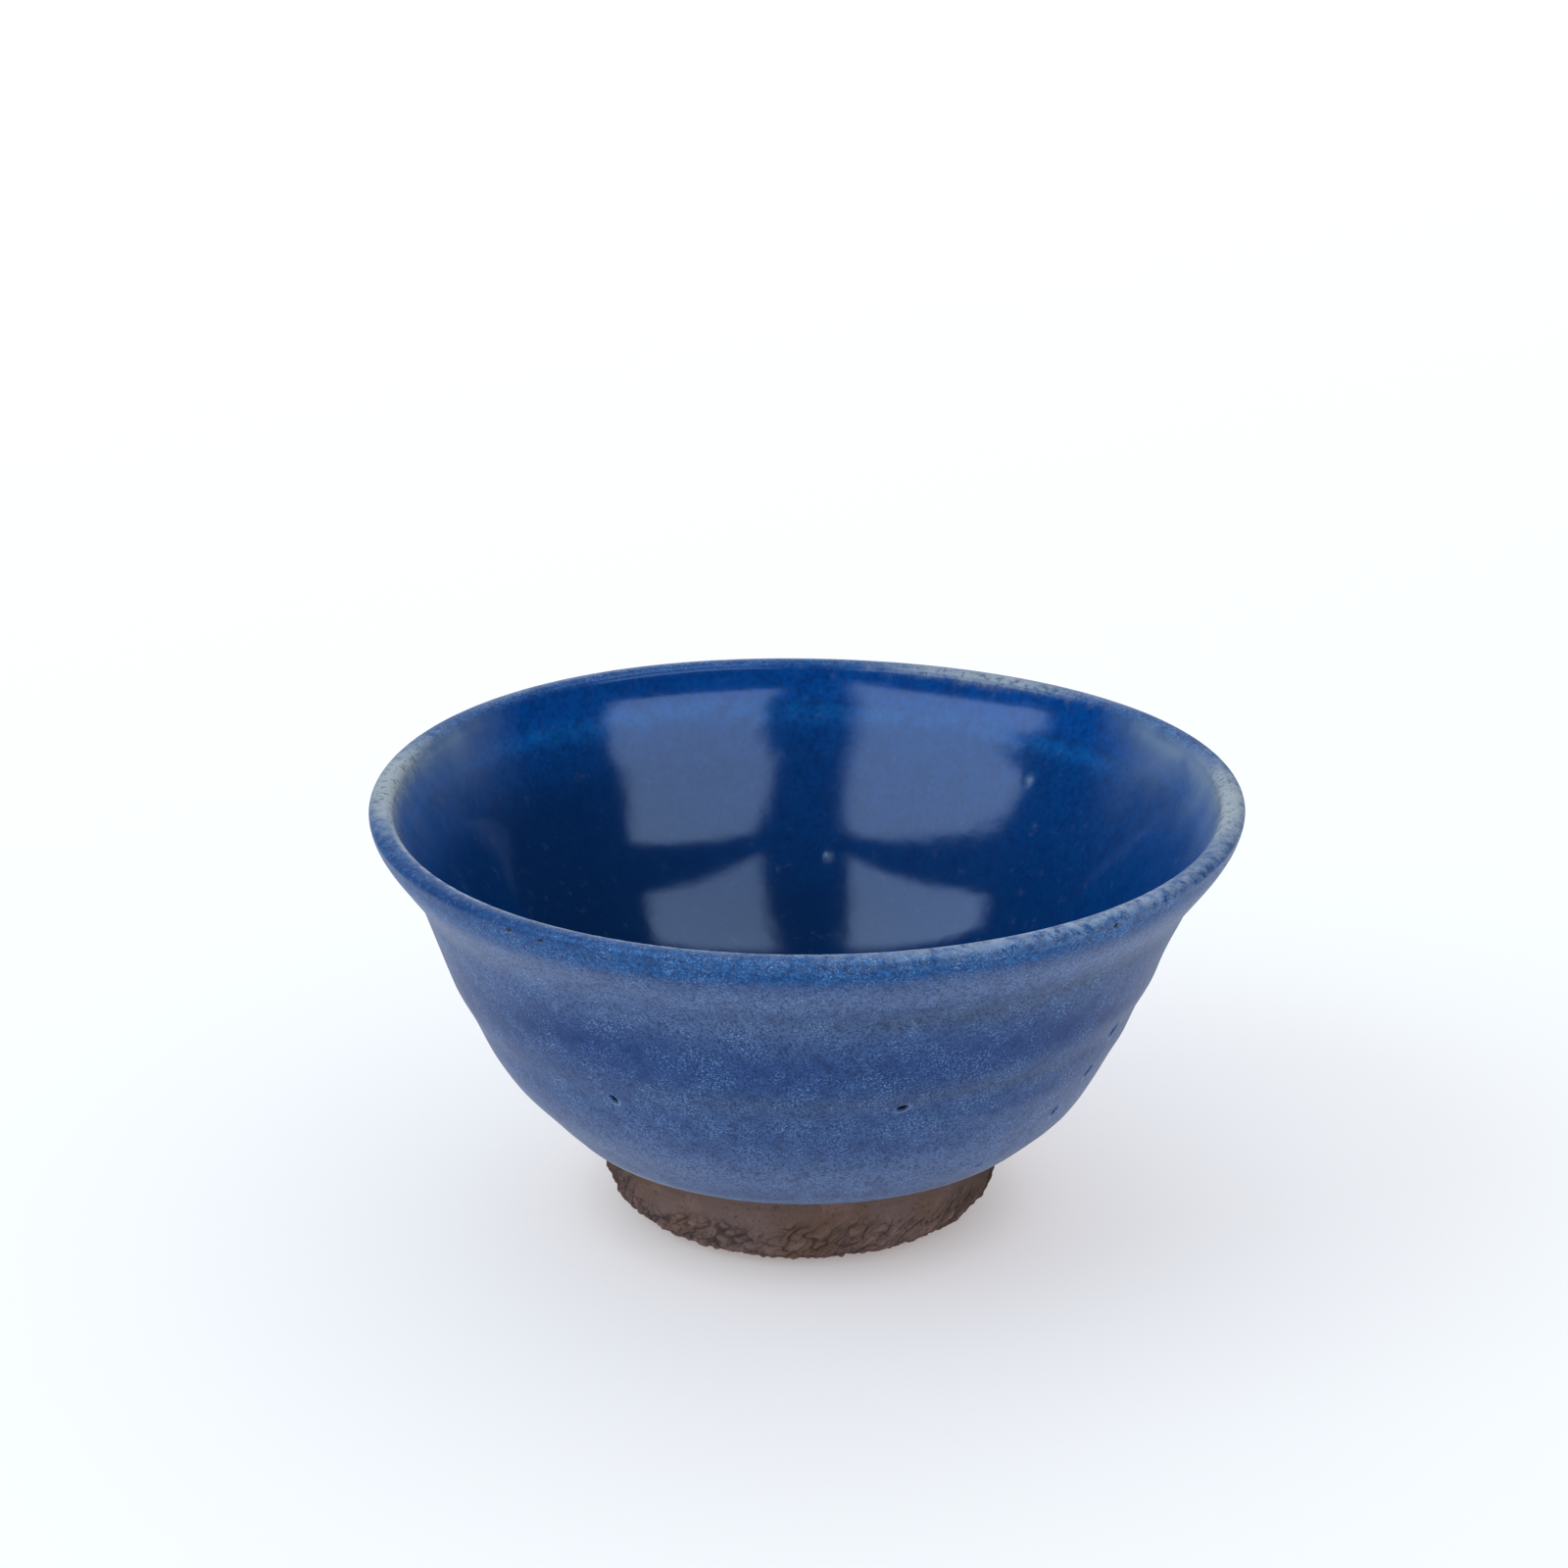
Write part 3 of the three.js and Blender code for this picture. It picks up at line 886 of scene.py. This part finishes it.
def srgb(red, green, blue):
    """A colour as it looks on a screen, from 0 to 255, as the shader's linear colour."""
    shares = [c / 255 for c in (red, green, blue)]
    return tuple(c / 12.92 if c <= 0.04045 else ((c + 0.055) / 1.055) ** 2.4 for c in shares) + (1.0,)


class Finish:
    """A procedural material on one shader, with short ways to add nodes."""

    def __init__(self, name, roughness, specular=0.5):
        self.material = bpy.data.materials.new(name)
        self.material.use_nodes = True
        self.tree = self.material.node_tree
        self.shader = self.tree.nodes["Principled BSDF"]
        self.shader.inputs["Roughness"].default_value = roughness
        self.shader.inputs["Specular IOR Level"].default_value = specular
        self.place = self.tree.nodes.new("ShaderNodeTexCoord").outputs["Object"]
        parts = self.add("ShaderNodeSeparateXYZ", {"Vector": self.place})
        self.height = self.maths("DIVIDE", parts.outputs["Z"], MM)

    def add(self, kind, inputs=(), **settings):
        node = self.tree.nodes.new(kind)
        for setting, value in settings.items():
            setattr(node, setting, value)
        for socket, value in dict(inputs).items():
            if isinstance(value, bpy.types.NodeSocket):
                self.tree.links.new(value, node.inputs[socket])
            else:
                node.inputs[socket].default_value = value
        return node

    def maths(self, operation, first, second):
        return self.add("ShaderNodeMath", {0: first, 1: second}, operation=operation).outputs[0]

    def clouds(self, size, detail=2.0, stretch=(1, 1, 1), shift=0.0):
        """Noise from 0 to 1 with lumps of the given size in millimetres."""
        scale = [1 / (size * MM * s) for s in stretch]
        mapped = self.add("ShaderNodeMapping", {"Vector": self.place, "Location": (shift,) * 3, "Scale": scale})
        inputs = {"Vector": mapped.outputs[0], "Scale": 1.0, "Detail": detail}
        return self.add("ShaderNodeTexNoise", inputs).outputs[0]

    def step(self, value, low, high):
        """0 below low, 1 above high, and smooth between them."""
        inputs = {"Value": value, "From Min": low, "From Max": high}
        return self.add("ShaderNodeMapRange", inputs, interpolation_type="SMOOTHSTEP").outputs[0]

    def fall(self, value, low, high):
        """1 below low, 0 above high, and smooth between them."""
        return self.maths("SUBTRACT", 1.0, self.step(value, low, high))

    def times(self, *values):
        product = values[0]
        for value in values[1:]:
            product = self.maths("MULTIPLY", product, value)
        return product

    def blend(self, share, first, second):
        node = self.add("ShaderNodeMix", {0: share}, data_type="RGBA")
        for socket, value in ((node.inputs[6], first), (node.inputs[7], second)):
            if isinstance(value, bpy.types.NodeSocket):
                self.tree.links.new(value, socket)
            else:
                socket.default_value = value
        return node.outputs[2]

    def field(self, name):
        return self.add("ShaderNodeAttribute", attribute_name=name).outputs["Fac"]

    def colour(self, socket):
        self.tree.links.new(socket, self.shader.inputs["Base Color"])

    def gloss(self, socket):
        self.tree.links.new(socket, self.shader.inputs["Roughness"])

    def grain(self, height, depth):
        """Fine bumps of the given depth in millimetres."""
        bump = self.add("ShaderNodeBump", {"Height": height, "Distance": depth * MM, "Strength": 1.0})
        self.tree.links.new(bump.outputs[0], self.shader.inputs["Normal"])


COBALT = srgb(50, 82, 135)
COBALT_DEEP_AND_SHADED = srgb(16, 59, 120)
COBALT_GREY = srgb(54, 86, 134)
COBALT_PALE_SHEEN = srgb(86, 110, 153)
COBALT_GREY_SHEEN = srgb(68, 88, 118)
LIP_BLUE = srgb(4, 78, 142)
LIP_BLUE_BRIGHT = srgb(44, 122, 190)
FLECK = srgb(104, 142, 194)
FLECK_DARK = srgb(6, 34, 82)
PIN_SHADE = srgb(12, 9, 9)
PIN_HIGHLIGHT = srgb(120, 148, 190)
MILKY = srgb(132, 148, 166)
LIP_PALE = srgb(140, 154, 166)
LIP_DARK = srgb(4, 54, 112)
LIP_SPECK = srgb(66, 84, 100)
LIP_HIGHLIGHT = srgb(168, 186, 204)
WELL_TOP = srgb(0, 72, 152)
WELL_BLUE = srgb(2, 62, 130)
WELL_DEEP = srgb(2, 46, 98)
WELL_INK = srgb(2, 34, 84)
WELL_SHADE = srgb(2, 24, 46)
WELL_RING = srgb(10, 94, 172)
WELL_MILKY_SHEEN = srgb(110, 136, 170)
BLISTER = srgb(110, 140, 160)
CLAY = srgb(108, 90, 87)
CLAY_WARM = srgb(106, 84, 73)
CLAY_PINK = srgb(124, 99, 97)
CLAY_HIGHLIGHT = srgb(138, 116, 110)
CLAY_DARK = srgb(34, 22, 19)
CLAY_SIDE_SHADE = srgb(66, 48, 38)


def satin_colour(finish):
    """The outside glaze's finely flecked blue, with bands of painted sheen and bands of deeper blue with painted
    shade.
    """
    cloudy = finish.step(finish.clouds(9.0, 3.0, (1, 1, 0.4)), 0.38, 0.66)
    colour = finish.blend(cloudy, COBALT, COBALT_GREY)
    # Pale and grey bands are painted sheen; deep bands are deeper blue with painted shade
    for field, tone in (("pale", COBALT_PALE_SHEEN), ("grey_sheen", COBALT_GREY_SHEEN), ("deep_and_shaded", COBALT_DEEP_AND_SHADED), ("lip_blue", LIP_BLUE)):
        colour = finish.blend(finish.field(field), colour, tone)
    mottle = finish.step(finish.clouds(0.8, 3.0, shift=7.0), 0.45, 0.68)
    colour = finish.blend(finish.times(mottle, 0.35), colour, FLECK_DARK)
    patch = finish.step(finish.clouds(0.42, 3.0, shift=4.0), 0.48, 0.66)
    colour = finish.blend(finish.times(patch, finish.field("lip_blue"), 0.55), colour, LIP_BLUE_BRIGHT)
    gap = finish.step(finish.clouds(0.6, 3.0, shift=6.5), 0.50, 0.64)
    colour = finish.blend(finish.times(gap, finish.field("lip_blue"), 0.4), colour, FLECK_DARK)
    dark = finish.step(finish.clouds(0.26, 2.0, shift=5.0), 0.46, 0.62)
    colour = finish.blend(finish.times(dark, 0.6), colour, FLECK_DARK)
    dense = finish.step(finish.clouds(2.6, 2.0, shift=8.0), 0.3, 0.7)
    light = finish.step(finish.clouds(0.17, 2.0, shift=1.0), 0.52, 0.68)
    shallow = finish.fall(finish.field("deep_and_shaded"), 0.6, 1.5)
    return finish.blend(finish.times(light, dense, shallow, 0.9), colour, FLECK)


def well_colour(finish):
    """The inside glaze: brightest under the lip, a thin pale ring, deeper further down, painted shade in places, and
    dull and milky near the lip's ends with a painted reflection.
    """
    height = finish.maths("ADD", finish.height, finish.times(finish.clouds(14.0, 2.0), 1.2))
    colour = finish.blend(finish.fall(height, 17.0, 36.0), WELL_BLUE, WELL_DEEP)
    # Painted shade on the inside wall
    colour = finish.blend(finish.field("inside_shade"), colour, WELL_SHADE)
    colour = finish.blend(finish.step(height, 36.3, 37.1), colour, WELL_TOP)
    ragged_ring = finish.step(finish.clouds(2.2, 3.0, shift=3.5), 0.15, 0.6)
    colour = finish.blend(finish.times(finish.field("ring"), ragged_ring, 0.75), colour, WELL_RING)
    mottle = finish.step(finish.clouds(1.6, 3.0), 0.42, 0.66)
    colour = finish.blend(finish.times(mottle, 0.25), colour, WELL_INK)
    fine = finish.step(finish.clouds(0.5, 2.0, shift=9.0), 0.45, 0.65)
    colour = finish.blend(finish.times(fine, 0.3), colour, WELL_INK)
    # Milky glaze with a painted reflection near the lip's ends
    colour = finish.blend(milky_sheen_share(finish), colour, WELL_MILKY_SHEEN)
    return finish.blend(finish.times(finish.field("blister"), 0.5), colour, BLISTER)


def milky_sheen_share(finish):
    """How dull and milky the inside glaze is, a little uneven; the same share paints a reflection of the bright
    backdrop into its colour.
    """
    uneven = finish.step(finish.clouds(5.0, 2.0, shift=6.0), 0.2, 0.75)
    return finish.times(finish.field("milky_sheen"), finish.maths("ADD", finish.times(uneven, 0.6), 0.55))


def over_lip(finish, colour):
    """Adds the lip's dark places, the pale speckled patches where its coat is thin, which at the lip's two ends also
    stand in as a painted reflection, and a painted highlight along its inner edge.
    """
    blotch = finish.step(finish.clouds(0.6, 3.0, shift=1.5), 0.35, 0.6)
    uneven_dark = finish.maths("ADD", finish.times(blotch, 0.6), 0.4)
    colour = finish.blend(finish.times(finish.field("dark"), uneven_dark), colour, LIP_DARK)
    # Pale speckled thin coat, which at the lip's ends also stands in as a painted reflection
    speck = finish.step(finish.clouds(0.5, 2.0, shift=3.0), 0.52, 0.66)
    pale = finish.blend(finish.times(speck, 0.7), LIP_PALE, LIP_SPECK)
    ragged = finish.maths("ADD", finish.field("thin"), finish.times(finish.clouds(1.2, 3.0, shift=2.0), 0.7))
    colour = finish.blend(finish.step(ragged, 0.4, 1.25), colour, pale)
    # Painted highlight along the lip's inner edge
    uneven = finish.step(finish.clouds(0.9, 3.0, shift=4.5), 0.3, 0.65)
    return finish.blend(finish.times(finish.field("light"), uneven), colour, LIP_HIGHLIGHT)


def satin_glaze():
    finish = Finish("satin_glaze", 0.42, 0.19)
    colour = over_lip(finish, satin_colour(finish))
    edge = finish.fall(finish.height, 9.0, 10.0)
    milky_edge = finish.maths("ADD", finish.times(finish.field("edge"), 0.45), 0.2)
    colour = finish.blend(finish.times(edge, milky_edge), colour, MILKY)
    # Painted highlight on the pinholes' rims, then painted shade inside them
    colour = finish.blend(finish.times(finish.field("halo"), 0.6), colour, PIN_HIGHLIGHT)
    colour = finish.blend(finish.step(finish.field("pit"), 0.15, 0.5), colour, PIN_SHADE)
    finish.colour(colour)
    finish.grain(finish.clouds(0.5, 2.0), 0.012)
    return finish.material


def well_gloss(finish):
    return finish.maths("ADD", finish.times(milky_sheen_share(finish), 0.25), 0.1)


def gloss_glaze():
    finish = Finish("gloss_glaze", 0.1, 0.46)
    finish.colour(over_lip(finish, well_colour(finish)))
    finish.gloss(well_gloss(finish))
    finish.grain(finish.clouds(0.6, 3.0), 0.003)
    return finish.material


def lip_glaze():
    finish = Finish("lip_glaze", 0.28, 0.32)
    inwards = finish.maths("ADD", finish.field("inwards"), finish.times(finish.clouds(2.0, 3.0), 0.8))
    colour = finish.blend(finish.step(inwards, 0.4, 2.2), satin_colour(finish), well_colour(finish))
    colour = over_lip(finish, colour)
    # Painted shade inside the pinholes
    finish.colour(finish.blend(finish.step(finish.field("pit"), 0.15, 0.5), colour, PIN_SHADE))
    satin_share = finish.fall(finish.field("inwards"), 0.0, 1.8)
    finish.gloss(finish.maths("ADD", well_gloss(finish), finish.times(satin_share, 0.3)))
    return finish.material


def clay(name, torn):
    finish = Finish(name, 0.85, 0.25)
    warm = finish.step(finish.clouds(5.0, 3.0), 0.38, 0.64)
    colour = finish.blend(warm, CLAY, CLAY_WARM)
    pink = finish.step(finish.clouds(2.4, 3.0, shift=5.0), 0.52, 0.68)
    colour = finish.blend(finish.times(pink, 0.6), colour, CLAY_PINK)
    grit = finish.step(finish.clouds(0.35, 3.0, shift=2.0), 0.55, 0.72)
    colour = finish.blend(finish.times(grit, 0.4), colour, CLAY_DARK)
    if torn:
        # Painted shade on the foot's left and right sides
        colour = finish.blend(finish.field("side_shade"), colour, CLAY_SIDE_SHADE)
        # Painted highlight on the lumps' tops, and painted shade in the creases and pocks
        colour = finish.blend(finish.times(finish.field("lump_highlight"), 0.4), colour, CLAY_HIGHLIGHT)
        colour = finish.blend(finish.times(finish.field("closed"), 0.85), colour, CLAY_DARK)
        # Painted shade under the glaze's overhang, and a painted contact shadow along the foot's bottom
        under_glaze = finish.step(finish.height, 7.4, 8.3)
        contact_shade = finish.fall(finish.height, 0.1, 0.7)
        colour = finish.blend(finish.times(finish.maths("MAXIMUM", under_glaze, contact_shade), 0.65), colour, CLAY_DARK)
    finish.colour(colour)
    finish.grain(finish.clouds(0.25, 3.0), 0.05)
    return finish.material


# The pieces

def place(piece, material, node, slot):
    piece.data.materials.append(material)
    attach(piece, "root")
    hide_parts(node)


OUTSIDE_ROWS = glaze_rows(0, RIM_START, OUTER_ROW, rolled=True)
OUTSIDE_PATCHES = pinhole_patches(OUTSIDE_ROWS.distance[1])
place(
    glaze_piece("outside_glaze_coat", OUTSIDE_ROWS, True, OUTSIDE_PATCHES),
    satin_glaze(), "outer_glaze", "satin_glaze",
)
place(
    glaze_piece("lip_glaze_coat", glaze_rows(RIM_START, RIM_END, RIM_ROW), True),
    lip_glaze(), "rim_glaze", "lip_glaze",
)
place(
    glaze_piece("inside_glaze_coat", well_rows(RIM_END, INNER_ROW), False),
    gloss_glaze(), "inner_glaze", "gloss_glaze",
)
place(bowl_piece("bowl_clay_body"), clay("bowl_clay", False), "clay_bowl", "bowl_clay")
place(foot_piece("foot_ring_torn"), clay("foot_clay", True), "foot_ring", "foot_clay")


# Floor, lights, surroundings and camera

FLOOR_SIDE = 6.0
FLOOR_COLOUR = (0.49, 0.57, 0.60, 1.0)
FLOOR_GLOW = (0.43, 0.38, 0.38, 1.0)
# The floor glows less where the foot shades it: share at the foot, and the radii between which that fades
FOOT_SHADE, FOOT_SHADE_NEAR, FOOT_SHADE_FAR = 0.72, 0.0135, 0.024
AIM = Vector((0, 0, 0.03))
NEUTRAL, COOL, SKY = (1.0, 1.0, 1.0), (0.94, 0.98, 1.0), (1.0, 1.42, 2.13)

# The four soft boxes that the inside mirrors, each by the directions of its corners seen from the cup
PANEL_DISTANCE = 1.0
PANEL_FADE = 0.16
PANEL_STEPS = 24
AMBIENT = 0.88
AMBIENT_COLOUR = (0.965, 0.985, 1.0)

# The bright sheet behind the cup: azimuths of its ends, and the elevations of its top at the ends and the middle
BACKDROP_ENDS = (148, 212)
BACKDROP_LOW, BACKDROP_HIGH = 9, 42
BACKDROP_SLOPE = (16, 32)
BACKDROP_STEPS = 28


def stage_mesh(name, corners, faces):
    mesh = bpy.data.meshes.new(name)
    mesh.from_pydata(corners, [], faces)
    thing = bpy.data.objects.new(name, mesh)
    bpy.context.scene.collection.objects.link(thing)
    return thing


def floor():
    """White paper that glows of itself, as if lit through from below, so that shadows on it stay light; round the
    foot its glow is painted weaker as a contact shadow.
    """
    half = FLOOR_SIDE / 2
    corners = [(-half, -half, 0), (half, -half, 0), (half, half, 0), (-half, half, 0)]
    ground = stage_mesh("floor", corners, [(0, 1, 2, 3)])
    material = bpy.data.materials.new("floor_paper")
    material.use_nodes = True
    shader = material.node_tree.nodes["Principled BSDF"]
    shader.inputs["Base Color"].default_value = FLOOR_COLOUR
    shader.inputs["Emission Color"].default_value = FLOOR_GLOW
    tree = material.node_tree
    place = tree.nodes.new("ShaderNodeTexCoord")
    away = tree.nodes.new("ShaderNodeVectorMath")
    away.operation = "LENGTH"
    tree.links.new(place.outputs["Object"], away.inputs[0])
    glow = tree.nodes.new("ShaderNodeMapRange")
    glow.interpolation_type = "SMOOTHSTEP"
    settings = {"From Min": FOOT_SHADE_NEAR, "From Max": FOOT_SHADE_FAR, "To Min": FOOT_SHADE, "To Max": 1.0}
    for socket, value in settings.items():
        glow.inputs[socket].default_value = value
    tree.links.new(away.outputs["Value"], glow.inputs["Value"])
    tree.links.new(glow.outputs[0], shader.inputs["Emission Strength"])
    shader.inputs["Roughness"].default_value = 0.9
    shader.inputs["Specular IOR Level"].default_value = 0.1
    ground.data.materials.append(material)


def sky(azimuth, elevation):
    """The direction of an azimuth (0 is the camera's side, + to the right) and an elevation, in degrees."""
    a, e = math.radians(azimuth), math.radians(elevation)
    return Vector((math.sin(a) * math.cos(e), -math.cos(a) * math.cos(e), math.sin(e)))


def ceiling(x, y):
    """The direction of a point of a level ceiling, given across and away from the camera per height."""
    return Vector((x, y, 1)).normalized()


def glowing(name, corners, faces, light, colour, shares=None):
    """A bright surface that shows in reflections only. Its corners may glow by different shares."""
    thing = stage_mesh(name, corners, faces)
    material = bpy.data.materials.new(name)
    material.use_nodes = True
    tree = material.node_tree
    emission = tree.nodes.new("ShaderNodeEmission")
    emission.inputs["Color"].default_value = (*colour, 1.0)
    emission.inputs["Strength"].default_value = light
    if shares is not None:
        thing.data.attributes.new("glow", "FLOAT", "POINT").data.foreach_set("value", light * shares)
        glow = tree.nodes.new("ShaderNodeAttribute")
        glow.attribute_name = "glow"
        tree.links.new(glow.outputs["Fac"], emission.inputs["Strength"])
    tree.links.new(emission.outputs[0], tree.nodes["Material Output"].inputs["Surface"])
    thing.data.materials.append(material)
    thing.visible_camera = False
    thing.visible_diffuse = False
    thing.visible_shadow = False


def soft_box(name, light, *directions):
    """A flat panel that faces the cup, with its corners in the given directions and edges that fade."""
    facing = sum(directions, Vector()).normalized()
    a, b, c, d = [AIM + PANEL_DISTANCE * way / way.dot(facing) for way in directions]
    marks = np.linspace(-PANEL_FADE / 2, 1 + PANEL_FADE / 2, PANEL_STEPS + 1)
    corners = [a.lerp(b, u).lerp(d.lerp(c, u), v) for v in marks for u in marks]
    row = PANEL_STEPS + 1
    cells_at = [v * row + u for v in range(PANEL_STEPS) for u in range(PANEL_STEPS)]
    faces = [(i, i + 1, i + row + 1, i + row) for i in cells_at]
    fade = smoothstep(0.5 - abs(marks - 0.5), -PANEL_FADE / 2, PANEL_FADE / 2)
    glowing(name, corners, faces, light, SKY, np.outer(fade, fade).ravel())


def backdrop():
    """A bright sheet that stands around the back of the scene, tallest in the middle."""
    turns = np.linspace(*BACKDROP_ENDS, BACKDROP_STEPS + 1)
    tops = BACKDROP_HIGH + (BACKDROP_LOW - BACKDROP_HIGH) * smoothstep(abs(turns - 180), *BACKDROP_SLOPE)
    low = [AIM + PANEL_DISTANCE * sky(turn, -1.5) for turn in turns]
    high = [AIM + PANEL_DISTANCE * sky(turn, top) for turn, top in zip(turns, tops)]
    count = len(turns)
    faces = [(i, i + 1, count + i + 1, count + i) for i in range(BACKDROP_STEPS)]
    glowing("backdrop", low + high, faces, 1.1, NEUTRAL)


def lamp(name, spot, aim, width, light, colour=NEUTRAL):
    """A square lamp that lights what it faces and shows in no reflection."""
    data = bpy.data.lights.new(name, "AREA")
    data.size = width
    data.energy = light * math.pi * width * width
    data.color = colour
    holder = bpy.data.objects.new(name, data)
    holder.location = spot
    holder.rotation_euler = (Vector(aim) - Vector(spot)).to_track_quat("-Z", "Y").to_euler()
    holder.visible_camera = False
    holder.visible_glossy = False
    bpy.context.scene.collection.objects.link(holder)


def lights():
    soft_box("front_box_right", 1.75, sky(9, 33.3), sky(62, 25.5), sky(74, 38.2), sky(22, 51.5))
    soft_box("front_box_left", 1.88, sky(-13, 30), sky(-20.5, 50.5), sky(-82, 31), sky(-77, 21.3))
    soft_box(
        "top_box_right", 1.5,
        ceiling(0.22, -0.52), ceiling(0.77, 0.03), ceiling(0.56, 0.38), ceiling(0.08, 0.32),
    )
    soft_box(
        "top_box_left", 1.75,
        ceiling(-0.24, -0.53), ceiling(-0.14, 0.30), ceiling(-0.77, 0.37), ceiling(-0.97, 0.10),
    )
    backdrop()
    lamp("window", 1.6 * sky(-72, 40), AIM, 1.2, 1.6, COOL)
    lamp("back_wash", (0, 1.3, 0.8), (0, 1.0, 0), 1.6, 0.65)


def surroundings():
    """Even light from all round, which reflections show as a dark room and the camera as white."""
    world = bpy.data.worlds.new("studio")
    bpy.context.scene.world = world
    world.use_nodes = True
    tree = world.node_tree
    ray = tree.nodes.new("ShaderNodeLightPath")
    dull = tree.nodes.new("ShaderNodeMath")
    dull.operation = "MULTIPLY_ADD"
    tree.links.new(ray.outputs["Is Glossy Ray"], dull.inputs[0])
    dull.inputs[1].default_value = 0.01 - AMBIENT
    dull.inputs[2].default_value = AMBIENT
    seen = tree.nodes.new("ShaderNodeMath")
    seen.operation = "MAXIMUM"
    tree.links.new(dull.outputs[0], seen.inputs[0])
    tree.links.new(ray.outputs["Is Camera Ray"], seen.inputs[1])
    background = tree.nodes["Background"]
    background.inputs["Color"].default_value = (*AMBIENT_COLOUR, 1.0)
    tree.links.new(seen.outputs[0], background.inputs["Strength"])


SENSOR = 36.0
LENS = 106.9
EYE = (0.0, -0.400, 0.1875)
LOOK_DOWN = math.radians(20.146)
LOOK_LEFT = 0.0045


def camera():
    data = bpy.data.cameras.new("camera")
    data.sensor_width = SENSOR
    data.lens = LENS
    holder = bpy.data.objects.new("camera", data)
    holder.location = EYE
    holder.rotation_euler = (math.pi / 2 - LOOK_DOWN, 0, LOOK_LEFT)
    bpy.context.scene.collection.objects.link(holder)
    bpy.context.scene.camera = holder


floor()
lights()
surroundings()
camera()
bpy.context.scene.view_settings.view_transform = "Standard"
